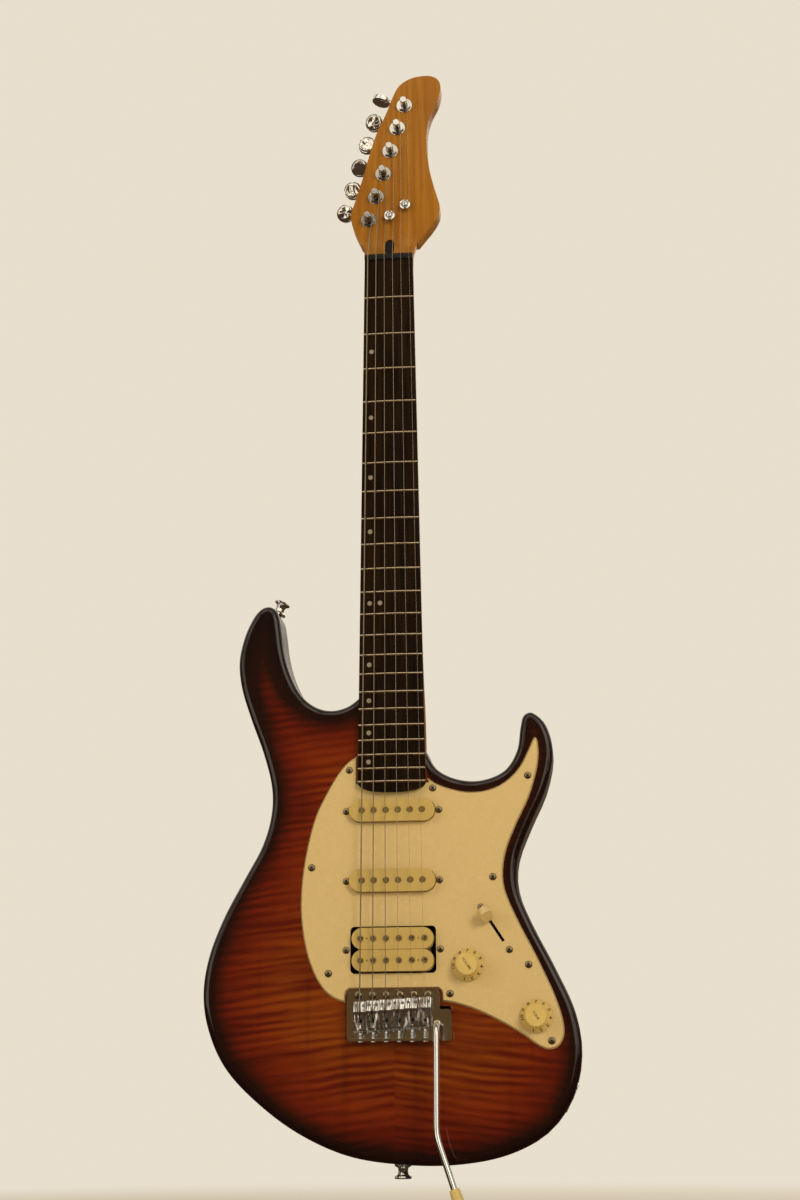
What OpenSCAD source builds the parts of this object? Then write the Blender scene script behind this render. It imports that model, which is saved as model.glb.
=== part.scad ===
// Solid body electric guitar with a vibrato bridge, as separate pieces.
// Drawn lying on its back: x to the treble side, y up the neck with the nut at 0, z out of the front.
// The front face of the body is z = 0. stand() turns the drawing upright at the end.

/* [Neck and strings] */
// Distance from the nut to the saddles
scale_length = 648; // [640:1:656]
// Number of frets
fret_count = 22; // [21:1:22]
// Width of the fingerboard at the nut
nut_width = 42.6; // [41:0.2:44]
// Width of the fingerboard at the last fret
heel_width = 56; // [55:0.2:57]
// Radius of the fingerboard's top
board_radius = 305; // [240:5:400]
// Thickness of the fingerboard on its centreline
board_thickness = 5.5; // [5:0.1:6.5]
// Height of the fingerboard's top above the body's front
board_top = 9.5; // [9:0.1:10]
// Distance between the outer strings at the nut
nut_spread = 36.5; // [35:0.1:37]
// Distance between the outer strings at the saddles
saddle_spread = 52; // [51:0.1:53]
// Space between the strings and the board at the nut
string_lift = 1.7; // [1.6:0.1:2]
// Space between the strings and the board over the saddles
saddle_lift = 5.2; // [5:0.1:5.6]

/* [Body] */
// Thickness of the body
body_depth = 44; // [42:1:48]
// Thickness of the maple top
top_depth = 7; // [6:0.5:9]
// Radius of the front edge
front_round = 5; // [3:0.5:5.5]
// Radius of the back edge
back_round = 6; // [3:0.5:8]
// Depth of the neck pocket
pocket_depth = 16; // [15:0.5:17]
// Thickness of the pickguard
guard_depth = 2.4; // [2:0.1:3]

/* [Headstock and tuners] */
// Thickness of the headstock
head_depth = 14.5; // [13:0.5:15]
// Level of the headstock's face
head_face = -1.4; // [-2:0.1:-1]
// Distance between two tuner posts
tuner_pitch = 23.4; // [23:0.1:24]
// Lean of the row of posts away from the centreline
tuner_lean = 16.3; // [16:0.1:18]
// Distance from a post to the middle of its button
button_reach = 27; // [26:0.5:28]

/* [Bridge] */
// Level of the bridge plate's underside
plate_level = 2.6; // [2.4:0.1:3]
// Thickness of the bridge plate
plate_depth = 2.5; // [2:0.1:3]
// Height of the arm above the body at its bend
arm_height = 28; // [27:1:32]
// Radius of the arm's rod
arm_r = 2.5; // [2.4:0.1:3]

/* [Controls] */
// Radius of a knob's skirt
knob_r = 12.8; // [12:0.1:13]
// Height of a knob
knob_height = 14; // [12:0.5:15]
// Lean of the switch lever away from upright at either end
switch_lean = 25; // [20:1:26]

/* [Hidden] */
$fa = 5;
$fs = 0.4;
eps = 0.05;
seat_gap = 0.02;
gauges = [1.17, 0.91, 0.66, 0.43, 0.33, 0.26];
neck_top = board_top - board_thickness;
board_end = 472;
heel_end = 465;
saddle_y = -scale_length - 2;
guard_top = guard_depth;
back = -body_depth;
pivot_y = -638;
bridge_top = plate_level + plate_depth;
block_y = -658;
block_back = -38;
lip_y = -673.3;
arm_at = [36.2, -661];
neck_coil = [0, -489.5];
middle_coil = [0, -546.8];
hum_at = [0, -602.2];
volume_at = [60.1, -615.2];
tone_at = [114, -656];
switch_at = [82.5, -586.4];
switch_turn = -56.9;
switch_pivot = -15;
jack_at = [140.6, -718.8];
jack_turn = -26;
mid_depth = -22;
tuner_1 = [-18.8, 44];
shaft_level = head_face - head_depth - 4.6;
wheel_r = 6.6;
worm_r = 3.1;
run_gap = 0.3;
worm_offset = wheel_r + worm_r + run_gap;
housing_wall = 1.1;
housing_half = wheel_r + run_gap + housing_wall;
housing_far = worm_offset + worm_r + run_gap + housing_wall;
spring_level = -36;
spring_rows = [-20.8, 0, 20.8];
block_screw_rows = [-20.8, 0, 20.8];
claw_y = -566;
claw_screw_rows = [-10.4, 10.4];
horn_button = [-101.3, -313.4];
tail_button = [4.5, -768.6];

neck_screw_points = [[-17, -417], [-18, -450], [17, -452], [3, -437]];
guard_screw_points = [
  [-35.7, -455.1], [-66.7, -535.1], [-52.7, -620.5], [45.5, -637.5], [125.7, -675],
  [108.8, -615.5], [81.5, -545.1], [111.7, -462.8], [33.4, -471.5]
];
cover_screw_points = [[-41, -544], [51, -544], [-41, -640], [51, -640], [-41, -691], [51, -691]];
tree_points = [[0.3, 45.5], [14.3, 55.5]];

// Smooth curves through control points

function along(a, b, c, d, t) =
  0.5 * (2 * b + (c - a) * t + (2 * a - 5 * b + 4 * c - d) * t * t + (3 * b - a - 3 * c + d) * t * t * t);

function smooth(pts, steps) = let (last = len(pts) - 1) [
  for (i = [0:last - 1])
    for (s = [0:steps - 1])
      along(pts[max(i - 1, 0)], pts[i], pts[i + 1], pts[min(i + 2, last)], s / steps),
  pts[last]
];

function unit(v) = v / norm(v);
function left_of(v) = [-v[1], v[0]];

// Outline moved inward by d, for a loop that runs with its inside on the left
function inset(pts, d) = let (n = len(pts)) [
  for (i = [0:n - 1])
    let (
      a = left_of(unit(pts[i] - pts[(i + n - 1) % n])),
      b = left_of(unit(pts[(i + 1) % n] - pts[i])),
      m = unit(a + b)
    ) pts[i] + m * d / max(0.6, m * a)
];

function at_level(pts, z) = [for (p = pts) [p[0], p[1], z]];
function span(a, b) = [for (i = [a:b]) i];

// Closed skin over rings of equal length. Each end is closed by the listed fans of ring points.
module skin(rings, fans) {
  n = len(rings[0]);
  top = (len(rings) - 1) * n;
  sides = [
    for (k = [0:len(rings) - 2])
      for (i = [0:n - 1])
        let (a = k * n + i, b = k * n + (i + 1) % n)
          each [[a, a + n, b + n], [a, b + n, b]]
  ];
  low = [for (f = fans) f];
  high = [for (f = fans) concat([f[0] + top], [for (i = [len(f) - 1:-1:1]) f[i] + top])];
  polyhedron([for (r = rings) each r], concat(sides, low, high));
}

// Tube of six sides along a path
function path_dir(p, i) = unit(p[min(i + 1, len(p) - 1)] - p[max(i - 1, 0)]);
function next_side(s, d) = unit(s - d * (s * d));
function tube_sides(p, i, s) =
  i == len(p) ? [] : let (t = next_side(s, path_dir(p, i))) concat([t], tube_sides(p, i + 1, t));

module tube(path, r) {
  sides = tube_sides(path, 0, [0.31, 0.17, 0.93]);
  rings = [
    for (i = [0:len(path) - 1])
      let (u = sides[i], v = cross(path_dir(path, i), u))
        [for (k = [0:5]) path[i] + r * (u * cos(60 * k) + v * sin(60 * k))]
  ];
  skin(rings, [span(0, 5)]);
}

// Rod that starts along z, bends towards x, and carries its children on from the bend's end
module bent_rod(r, bend_r, angle) {
  translate([bend_r, 0, 0])
    rotate([0, 0, 180])
      rotate([90, 0, 0])
        rotate_extrude(angle = angle)
          translate([bend_r, 0])
            circle(r);
  translate([bend_r * (1 - cos(angle)), 0, bend_r * sin(angle)])
    rotate([0, angle, 0])
      children();
}

// Slot shape with round ends
module stadium(length, width) {
  square([length - width, width], center = true);
  for (s = [-1, 1])
    translate([s * (length - width) / 2, 0])
      circle(width / 2);
}

module rounded_plate(size, r) {
  square([size[0] - 2 * r, size[1]], center = true);
  square([size[0], size[1] - 2 * r], center = true);
  for (x = [-1, 1])
    for (y = [-1, 1])
      translate([x * (size[0] / 2 - r), y * (size[1] / 2 - r)])
        circle(r);
}

// Screw with a domed head that sits on z = 0
module screw(head_r, head_h, shank_r, length) {
  rotate_extrude()
    polygon([
      [0, -length], [shank_r * 0.4, -length], [shank_r, -length + 2 * shank_r], [shank_r, 0], [head_r, 0],
      [head_r, head_h * 0.35], [head_r * 0.8, head_h * 0.8], [head_r * 0.45, head_h], [0, head_h]
    ]);
}

// Where things are along the neck

function fret_y(n) = -scale_length * (1 - pow(2, -n / 12));
function board_half(y) = (nut_width + (heel_width - nut_width) * y / fret_y(22)) / 2;
function board_level(x) = board_top - board_radius + sqrt(board_radius * board_radius - x * x);
function string_part(k) = k / 5 - 0.5;
function nut_point(k) =
  let (x = nut_spread * string_part(k)) [x, 2.5, board_level(x) + string_lift];
function saddle_point(k) =
  let (x = saddle_spread * string_part(k)) [x, saddle_y + saddle_shift(k), board_level(x) + saddle_lift];
// Thicker strings need their saddles further back
function saddle_shift(k) = 3 * string_part(k);
function post_at(k) = tuner_1 + tuner_pitch * k * [sin(tuner_lean), cos(tuner_lean)];

// Body outline from the bass side of the neck round to the treble side
body_points = [
  [-17, -384.5], [-27, -392], [-38, -400], [-52, -403], [-66, -399], [-78, -388], [-87, -370],
  [-92.5, -350], [-95, -331], [-97.5, -318], [-103.5, -311.6], [-111.5, -312.6], [-119, -321],
  [-126.5, -338], [-130.5, -359], [-128, -382], [-119.5, -409], [-108.5, -439], [-101.5, -467],
  [-101.8, -491], [-109, -516], [-123, -542], [-140, -574], [-152, -606], [-156, -636],
  [-151, -665], [-137, -694], [-112, -720], [-78, -744.5], [-38, -762], [5, -768.8], [48, -769.2],
  [88, -762.2], [120, -746], [141, -719], [149, -686], [145, -653], [130, -618], [112, -582],
  [101.5, -554], [102, -529], [113, -501], [126, -473], [132.5, -444], [128, -421],
  [117.5, -409.6], [109.5, -411.3], [106.5, -421], [103, -441], [92, -457.5], [72, -465],
  [52, -463], [36, -454], [27, -438], [18, -430]
];
body_steps = 3;
body_outline = smooth(body_points, body_steps);
bass_notch = 3 * body_steps;
bass_side = 16 * body_steps;
tail_end = 30 * body_steps;
treble_side = 41 * body_steps;
treble_notch = 50 * body_steps;
body_last = len(body_outline) - 1;
// The two horns and the rest, each seen whole from its first point
body_fans = [
  concat([bass_side], span(bass_notch, bass_side - 1)),
  span(treble_side, treble_notch),
  concat(
    span(tail_end, treble_side), span(treble_notch, body_last),
    span(0, bass_notch), span(bass_side, tail_end - 1)
  )
];
round_steps = [0:22.5:90];
// How far the skins run past the flat faces that cut them
skin_over = 2;

// All of the body's plan between two levels
module body_layer(low, high) {
  translate([-200, -800, low])
    cube([400, 600, high - low]);
}

module body_top() {
  color("#b5652a")
    difference() {
      intersection() {
        skin(
          concat(
            [at_level(body_outline, -top_depth - skin_over)],
            [
              for (a = round_steps)
                at_level(inset(body_outline, front_round * (1 - cos(a))), front_round * (sin(a) - 1))
            ],
            [at_level(inset(body_outline, front_round), skin_over)]
          ),
          body_fans
        );
        body_layer(-top_depth, 0);
      }
      neck_pocket();
      pickup_routes();
      control_route();
      block_slot();
    }
}

module body_back() {
  color("#3a1410")
    difference() {
      intersection() {
        skin(
          concat(
            [at_level(inset(body_outline, back_round), back - skin_over)],
            [
              for (a = round_steps)
                at_level(inset(body_outline, back_round * (1 - sin(a))), back + back_round * (1 - cos(a)))
            ],
            [at_level(body_outline, skin_over - top_depth)]
          ),
          body_fans
        );
        body_layer(back, -top_depth);
      }
      neck_pocket();
      pickup_routes();
      control_route();
      block_slot();
      spring_route();
      jack_route();
      ferrule_holes();
      belly_cut();
    }
}

// Hollow on the back where the player's ribs rest
module belly_cut() {
  translate([-150, -480, back - 280])
    sphere(300, $fn = 96);
}

module neck_pocket() {
  gap = 0.15;
  translate([0, 0, -pocket_depth])
    linear_extrude(pocket_depth + 1)
      polygon([
        [-board_half(-heel_end) - gap, -heel_end - gap], [board_half(-heel_end) + gap, -heel_end - gap],
        [board_half(-380) + gap, -380], [-board_half(-380) - gap, -380]
      ]);
}

module pickup_routes() {
  for (p = [neck_coil, middle_coil])
    translate([p[0], p[1], -19])
      linear_extrude(20)
        square([90, 25], center = true);
  translate([hum_at[0], hum_at[1], -21])
    linear_extrude(22)
      square([90, 43], center = true);
}

module control_route() {
  translate([0, 0, -38])
    linear_extrude(39) {
      translate(volume_at)
        circle(15);
      translate(tone_at)
        circle(14.5);
      translate(switch_at)
        rotate([0, 0, switch_turn])
          square([56, 20], center = true);
      polygon([[66, -602], [88, -584], [122, -644], [102, -664]]);
      translate([40, -619])
        square([12, 8]);
    }
}

module block_slot() {
  translate([-34, -671, back - 1])
    cube([79.6, 24, body_depth + 2]);
}

module spring_route() {
  translate([-29, -660, back - 1])
    cube([58, 108, 17]);
}

module jack_route() {
  translate([jack_at[0], jack_at[1], mid_depth])
    rotate([0, 0, jack_turn])
      rotate([0, 90, 0]) {
        translate([0, 0, -36])
          cylinder(r = 10, h = 60);
        translate([0, 0, -1.6])
          cylinder(r = 12.6, h = 20);
      }
  translate([116, -656, -30])
    rotate([90, 0, 0])
      cylinder(r = 4, h = 50);
}

module ferrule_holes() {
  for (p = neck_screw_points)
    translate([p[0], p[1], back - 1]) {
      cylinder(r = 7, h = 5);
      cylinder(r = 2.6, h = body_depth);
    }
}

// Neck

// Width, lowest level and squareness of the neck along its length
neck_stations = [
  [-465, 0, -15.9, 16], [-415, 0, -15.9, 16], [-402, 0, -15.9, 10], [-390, 0, -15.3, 6],
  [-378, 0, -14.4, 4.2], [-364, 0, -13.6, 3.2], [-346, 0, -13.1, 2.5], [-324, 0, -12.9, 2.3],
  [-220, 0, -12.3, 2.2], [-110, 0, -11.7, 2.2], [-20, 0, -11.2, 2.2], [-7, 0, -11.4, 2.3],
  [3, 0.3, -12, 2.6], [10, 1, -13.2, 3.4], [17, 2.4, -14.6, 6], [24, 4, -15.5, 12],
  [32, 4, -15.4, 12]
];
ramp_from = 6;
ramp_to = 31;
ramp_run = ramp_to - ramp_from;
ramp_low = head_face - 0.2;
function ramp_rest(y) = 1 - (min(y, ramp_to) - ramp_from) / ramp_run;
function ramp_level(y) =
  y < ramp_from ? neck_top : ramp_low + (neck_top - ramp_low) * pow(ramp_rest(y), 2);
function power(v, p) = sign(v) * pow(abs(v), p);

function neck_ring(s) =
  let (
    y = s[0],
    half = board_half(min(y, 0)) + s[1],
    high = ramp_level(y),
    depth = high - s[2],
    p = 2 / s[3]
  ) [
    for (a = [0:9:180])
      [half * power(cos(a), p), y, high - depth * power(sin(a), p)]
  ];

head_points = [
  [25.5, 20], [31, 27], [38.5, 36.5], [44, 46.5], [45, 55.5], [43, 63.5], [39.6, 76], [36.2, 91.5],
  [34.2, 107.5], [33.9, 123.5], [35.2, 136.5], [39, 148.5], [44, 158.5], [47, 169.5],
  [46.3, 178.5], [41, 184], [32, 185.6], [20, 183.6], [10, 177.4], [4, 167], [-3, 148.5],
  [-11.2, 130.5], [-17.5, 110.5], [-23.4, 88.5], [-30, 66.5], [-34.5, 52], [-34, 41],
  [-29.8, 29.5], [-25.5, 20]
];

module neck() {
  color("#c98a3c")
    difference() {
      union() {
        skin([for (s = neck_stations) neck_ring(s)], [span(0, 20)]);
        translate([0, 0, head_face - head_depth])
          linear_extrude(head_depth)
            polygon(smooth(head_points, 3));
      }
      truss_channel();
      for (k = [0:5])
        tuner_place(k)
          translate([0, 0, head_face - head_depth - 1])
            cylinder(r = 5, h = head_depth + 2);
    }
}

truss_low = -425;

module truss_channel() {
  translate([-3.1, truss_low - 2, -6])
    cube([6.2, 15 - truss_low + 2, 20]);
  translate([-4, 11, -7])
    cube([8, 9, 20]);
  translate([0, 20, -7])
    cylinder(r = 4, h = 20);
}

module truss_rod() {
  color("#4a4a4c") {
    translate([-3, truss_low, -6])
      cube([6, 11.3 - truss_low, neck_top + 5.5]);
    translate([0, 11.3, -1])
      rotate([-90, 0, 0])
        difference() {
          cylinder(r = 3.6, h = 9);
          translate([0, 0, 3])
            cylinder(r = 2.2, h = 10, $fn = 6);
        }
  }
}

module fingerboard() {
  color("#2a1a14")
    difference() {
      intersection() {
        translate([0, 0, neck_top])
          linear_extrude(board_thickness + 1)
            intersection() {
              polygon([
                [-board_half(0), 0], [-board_half(-480), -480],
                [board_half(-480), -480], [board_half(0), 0]
              ]);
              union() {
                translate([0, 48 - board_end])
                  circle(48);
                translate([-40, 9 - board_end])
                  square([80, board_end]);
              }
            }
        board_curve(board_radius, 600);
      }
      for (n = [1:fret_count])
        translate([-40, fret_y(n) - 0.3, board_top - 3.6])
          cube([80, 0.6, 10]);
      for (p = dot_points())
        translate([p[0], p[1], board_level(p[0]) - 1.6])
          cylinder(r = 2.02, h = 4);
    }
}

// Round bar whose top is the fingerboard's curve
module board_curve(r, length) {
  translate([0, 100, board_top - board_radius])
    rotate([90, 0, 0])
      cylinder(r = r, h = length + 100, $fn = 720);
}

function between(n) = (fret_y(n) + fret_y(n - 1)) / 2;
function dot_x(n, s) =
  let (t = -between(n) / scale_length) (nut_spread + (saddle_spread - nut_spread) * t) * s;
function dot_points() = concat(
  [for (n = [3, 5, 7, 9, 12, 15, 17, 19, 21]) [dot_x(n, -0.4), between(n)]],
  [[dot_x(12, -0.2), between(12)]]
);

module fret_dots() {
  color("#e8e2d2")
    for (p = dot_points())
      translate([p[0], p[1], board_level(p[0]) - 1.6])
        cylinder(r = 2, h = 1.62);
}

module frets() {
  color("#cfcfcb")
    for (n = [1:fret_count])
      translate([0, fret_y(n), board_top - board_radius])
        rotate([-90, 0, 0])
          fret(2 * asin((board_half(fret_y(n)) - 0.2) / board_radius));
}

module fret(angle) {
  seat = board_radius + 0.02;
  rotate([0, 0, 270 - angle / 2])
    rotate_extrude(angle = angle)
      union() {
        intersection() {
          translate([seat, 0])
            circle(1.2);
          translate([seat, -2])
            square([4, 4]);
        }
        translate([seat - 2, -0.25])
          square([2.5, 0.5]);
      }
}

module nut() {
  color("#1b1b1c")
    difference() {
      intersection() {
        translate([-nut_width / 2, 0, neck_top])
          cube([nut_width, 5, 12]);
        board_curve(board_radius + string_lift + 0.1, 200);
      }
      for (k = [0:5])
        translate([nut_point(k)[0], -1, nut_point(k)[2] + gauges[k] / 2])
          rotate([-90, 0, 0])
            cylinder(r = gauges[k] / 2 + 0.08, h = 8);
    }
}

module neck_ferrules() {
  color("#d5d5d2")
    for (p = neck_screw_points)
      translate([p[0], p[1], back - 0.6])
        difference() {
          cylinder(r = 6.95, h = 4.6);
          translate([0, 0, -1])
            cylinder(r = 4.6, h = 3);
          cylinder(r = 2.6, h = 10);
        }
}

module neck_screws() {
  color("#c4c4c2")
    for (p = neck_screw_points)
      translate([p[0], p[1], back + 1.4])
        rotate([180, 0, 0])
          screw(4.3, 2.2, 2.2, 42);
}

// Headstock

// Local x runs from the post to its button, local y towards the nut
module tuner_place(k) {
  translate([post_at(k)[0], post_at(k)[1], 0])
    rotate([0, 0, 180 - tuner_lean])
      children();
}

module tuner_housings() {
  color("#cdcdcb")
    for (k = [0:5])
      tuner_place(k)
        difference() {
          union() {
            translate([0, (housing_half - housing_far) / 2, shaft_level - 4.6])
              linear_extrude(head_face - head_depth - shaft_level + 4.6)
                rounded_plate([2 * housing_half, housing_half + housing_far], 3.5);
            translate([7, -worm_offset, shaft_level])
              rotate([0, 90, 0])
                cylinder(r = 4, h = 6);
            translate([0, 0, head_face - head_depth - 1])
              cylinder(r = 4.9, h = head_depth + 3.4);
          }
          translate([0, 0, shaft_level - 3.4])
            cylinder(r = 3.05, h = 60);
          translate([0, 0, shaft_level - 2.6])
            cylinder(r = wheel_r + run_gap, h = 5.2);
          translate([-5.6, -worm_offset, shaft_level])
            rotate([0, 90, 0])
              cylinder(r = worm_r + run_gap, h = 10.6);
          translate([-6.2, -worm_offset, shaft_level])
            rotate([0, 90, 0])
              cylinder(r = 2.05, h = 30);
        }
}

module tuner_nuts() {
  color("#dcdcda")
    for (k = [0:5])
      tuner_place(k)
        translate([0, 0, head_face])
          difference() {
            union() {
              cylinder(r = 7, h = 0.8);
              translate([0, 0, 0.7])
                cylinder(r = 6, h = 2.3, $fn = 6);
            }
            translate([0, 0, -1])
              cylinder(r = 4.92, h = 6);
          }
}

wind_low = 2.1;
post_waist = 2.5;
wind_gap = 0.45;
wind_turns = 2.25;
function wind_pitch(k) = gauges[k] + wind_gap;
function hole_level(k) = wind_low + gauges[k] / 2 + 0.2 + wind_turns * wind_pitch(k);
hole_turn = 90;

module tuner_post(k) {
  color("#d8d8d6")
    translate([post_at(k)[0], post_at(k)[1], 0])
      difference() {
        rotate_extrude()
          polygon([
            [0, shaft_level - 3.2], [3, shaft_level - 3.2], [3, shaft_level - 2.4],
            [wheel_r, shaft_level - 2.4], [wheel_r, shaft_level + 2.4], [3, shaft_level + 2.4],
            [3, wind_low - 0.7], [post_waist, wind_low - 0.2], [post_waist, 8.4],
            [3.1, 9.2], [3.1, 10.2], [2.6, 10.6], [0, 10.6]
          ]);
        translate([0, 0, hole_level(k)])
          rotate([0, 90, hole_turn + 8])
            cylinder(r = gauges[k] / 2 + 0.42, h = 20, center = true);
      }
}

collar_at = 13.4;
// Rest turn of each button about its shaft
button_turns = [70, 84, 62, 90, 76, 4];

module tuner_button(k) {
  color("#dededc")
    tuner_place(k)
      translate([0, -worm_offset, shaft_level])
        rotate([button_turns[k], 0, 0])
          rotate([0, 90, 0]) {
            translate([0, 0, -5.9])
              cylinder(r = 2, h = button_reach - 1.5);
            translate([0, 0, -5.2])
              cylinder(r = worm_r, h = 9.8);
            translate([0, 0, collar_at])
              cylinder(r1 = 3.4, r2 = 2.4, h = button_reach - 7 - collar_at);
            translate([0, 0, button_reach])
              rotate([90, 0, 0])
                button_disc();
          }
}

module button_disc() {
  rotate_extrude()
    union() {
      translate([0, -3])
        square([5.4, 6]);
      translate([0, -2])
        square([8, 4]);
      for (s = [-1, 1])
        translate([5.4, s * 0.4])
          circle(2.6);
    }
}

module string_trees() {
  color("#d2d2d0")
    for (p = tree_points)
      translate([p[0], p[1], head_face]) {
        difference() {
          rotate_extrude()
            polygon([
              [0, 0], [2.2, 0], [2.2, 4.4], [4.7, 4.6], [4.9, 5], [4.6, 5.5], [3.4, 5.9], [0, 5.9]
            ]);
          translate([0, 0, -1])
            cylinder(r = 1.25, h = 10);
        }
        translate([0, 0, 5.9 + seat_gap])
          screw(2.2, 1.2, 1.2, 14);
      }
}

// Strap buttons

module strap_button() {
  difference() {
    rotate_extrude()
      polygon([
        [0, 0], [6.8, 0], [6.8, 1.4], [4.2, 3], [3.8, 5.5], [4.4, 8],
        [6.6, 9.4], [6.9, 10.4], [6.3, 11.4], [0, 11.4]
      ]);
    translate([0, 0, -1])
      cylinder(r = 1.9, h = 20);
    translate([0, 0, 9.4])
      cylinder(r = 4.1, h = 5);
  }
  translate([0, 0, 9.4 + seat_gap])
    screw(3.8, 1.8, 1.85, 36);
}

module strap_buttons() {
  color("#d6d6d4") {
    translate([horn_button[0], horn_button[1], mid_depth])
      rotate([-90, 0, -24])
        strap_button();
    translate([tail_button[0], tail_button[1], mid_depth])
      rotate([90, 0, 0])
        strap_button();
  }
}

// Pickguard and what hangs from it

guard_neck_side = 29;
guard_points_treble = [
  [29, -462.5], [36.5, -467.5], [49, -472.3], [64, -475], [80, -473.2], [94, -466.3], [105, -455],
  [112.5, -441], [117.5, -431], [120.3, -434], [120.8, -447], [117.8, -463], [111.3, -482],
  [102, -501], [93.5, -521], [89.8, -539], [91.5, -557], [102, -582], [116, -610], [128.5, -638],
  [134.8, -658], [135.5, -670.5], [131, -679], [123, -681.6], [114.5, -678.3], [103, -670],
  [86, -660], [66, -650.4], [50, -645.3], [38.8, -643.2]
];
guard_points_bass = [
  [-38.8, -643.4], [-48, -640.2], [-57, -633], [-65, -619.8], [-71.5, -600.8], [-75.5, -575],
  [-75.3, -549], [-71.5, -522], [-64.5, -494.3], [-55, -474], [-45.5, -458], [-37, -448],
  [-29, -443]
];

guard_bridge_side = [
  [38.8, -637.6], [38.2, -635], [36.2, -633.2], [-36.2, -633.2], [-38.2, -635], [-38.8, -637.6]
];

module guard_outline() {
  polygon(concat(
    [[-guard_neck_side, -heel_end - 0.6], [guard_neck_side, -heel_end - 0.6]],
    smooth(guard_points_treble, 3),
    guard_bridge_side,
    smooth(guard_points_bass, 3)
  ));
}

module pickguard() {
  color("#d9c08a")
    linear_extrude(guard_depth)
      difference() {
        guard_outline();
        for (p = [neck_coil, middle_coil])
          translate(p) {
            stadium(71.2, 19.2);
            for (s = [-1, 1])
              translate([38.2 * s, 0])
                circle(1.7);
          }
        translate(hum_at) {
          rounded_plate([69.6, 37.6], 3.5);
          for (s = [-1, 1])
            translate([38.2 * s, 0])
              circle(1.7);
        }
        translate(volume_at)
          circle(4.2);
        translate(tone_at)
          circle(4.2);
        translate(switch_at)
          rotate([0, 0, switch_turn]) {
            square([24.6, 2.4], center = true);
            for (s = [-1, 1])
              translate([20.4 * s, 0])
                circle(1.7);
          }
        for (p = guard_screw_points)
          translate(p)
            circle(1.6);
      }
}

module cover_screws() {
  color("#b9b4a8") {
    for (p = guard_screw_points)
      translate([p[0], p[1], guard_top])
        screw(2.9, 1.2, 1.5, 14);
    for (p = cover_screw_points)
      translate([p[0], p[1], back - 2])
        rotate([180, 0, 0])
          screw(2.9, 1.2, 1.5, 14);
  }
}

coil_top = 8.6;
pole_pitch = 9.92;

module single_coil_covers() {
  color("#d2b77e")
    for (p = [neck_coil, middle_coil])
      translate([p[0], p[1], -6])
        difference() {
          linear_extrude(coil_top + 6)
            stadium(70.4, 18.4);
          translate([0, 0, -1])
            linear_extrude(coil_top + 5.6)
              stadium(67.6, 15.6);
          for (k = [0:5])
            translate([pole_pitch * (k - 2.5), 0, 0])
              cylinder(r = 2.5, h = 30);
        }
}

module single_coils() {
  color("#2b2623")
    for (p = [neck_coil, middle_coil])
      translate([p[0], p[1], -8.2])
        difference() {
          union() {
            linear_extrude(2.2)
              stadium(84, 14);
            linear_extrude(14)
              stadium(60, 12);
          }
          for (k = [0:5])
            translate([pole_pitch * (k - 2.5), 0, -1])
              cylinder(r = 2.42, h = 30);
          for (s = [-1, 1])
            translate([38.2 * s, 0, -1])
              cylinder(r = 1.52, h = 10);
        }
}

module single_coil_magnets() {
  color("#9c968a")
    for (p = [neck_coil, middle_coil])
      for (k = [0:5])
        translate([p[0] + pole_pitch * (k - 2.5), p[1], -9])
          cylinder(r = 2.4, h = 9 + coil_top + 0.7);
}

bobbin_rows = [-8.75, 8.75];
hum_pitch = 10.4;
hum_top = 7.6;

module hum_poles_at() {
  for (y = bobbin_rows)
    for (k = [0:5])
      translate([hum_at[0] + hum_pitch * (k - 2.5), hum_at[1] + y, 0])
        children();
}

module humbucker_bobbins() {
  color("#d6bd86")
    difference() {
      for (y = bobbin_rows)
        translate([hum_at[0], hum_at[1] + y, -5.4]) {
          linear_extrude(1.6)
            stadium(66.4, 17.2);
          linear_extrude(hum_top + 5.4)
            stadium(57.2, 5.6);
          translate([0, 0, hum_top + 3.6])
            linear_extrude(1.8)
              stadium(66.4, 17.2);
        }
      hum_poles_at()
        cylinder(r = 2.05, h = 60, center = true);
      for (y = bobbin_rows)
        for (s = [-2, 2])
          translate([hum_at[0] + s * hum_pitch, hum_at[1] + y, hum_top - 3])
            cylinder(r = 0.6, h = 6);
    }
}

module humbucker_coils() {
  color("#151416")
    for (y = bobbin_rows)
      translate([hum_at[0], hum_at[1] + y, -3.8])
        linear_extrude(hum_top + 1.8)
          difference() {
            stadium(63, 15);
            stadium(57.6, 6);
          }
}

module humbucker_base() {
  color("#1f1e20")
    translate([hum_at[0], hum_at[1], -12])
      difference() {
        union() {
          linear_extrude(1.5)
            rounded_plate([68, 36], 3);
          linear_extrude(1.5)
            stadium(84, 13);
        }
        for (s = [-1, 1])
          translate([38.2 * s, 0, -1])
            cylinder(r = 1.52, h = 10);
        for (k = [0:5])
          for (y = bobbin_rows)
            translate([hum_pitch * (k - 2.5), y, -1])
              cylinder(r = 2.05, h = 10);
      }
}

module humbucker_magnet() {
  color("#6b6660")
    translate([hum_at[0] - 30, hum_at[1] - 6, -10.5])
      cube([60, 12, 5.1]);
}

module humbucker_poles() {
  color("#a8a193")
    hum_poles_at() {
      translate([0, 0, -14])
        cylinder(r = 2, h = 14 + hum_top + eps);
      translate([0, 0, hum_top + 0.02])
        cylinder(r = 2.4, h = 0.8);
    }
}

module pickup_screws() {
  color("#b9b4a8") {
    for (p = [neck_coil, middle_coil, hum_at])
      for (s = [-1, 1])
        translate([p[0] + 38.2 * s, p[1], guard_top])
          screw(2.8, 1.3, 1.5, 18);
    translate([switch_at[0], switch_at[1], guard_top])
      rotate([0, 0, switch_turn])
        for (s = [-1, 1])
          translate([20.4 * s, 0, 0])
            screw(2.8, 1.3, 1.5, 7);
  }
}

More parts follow.
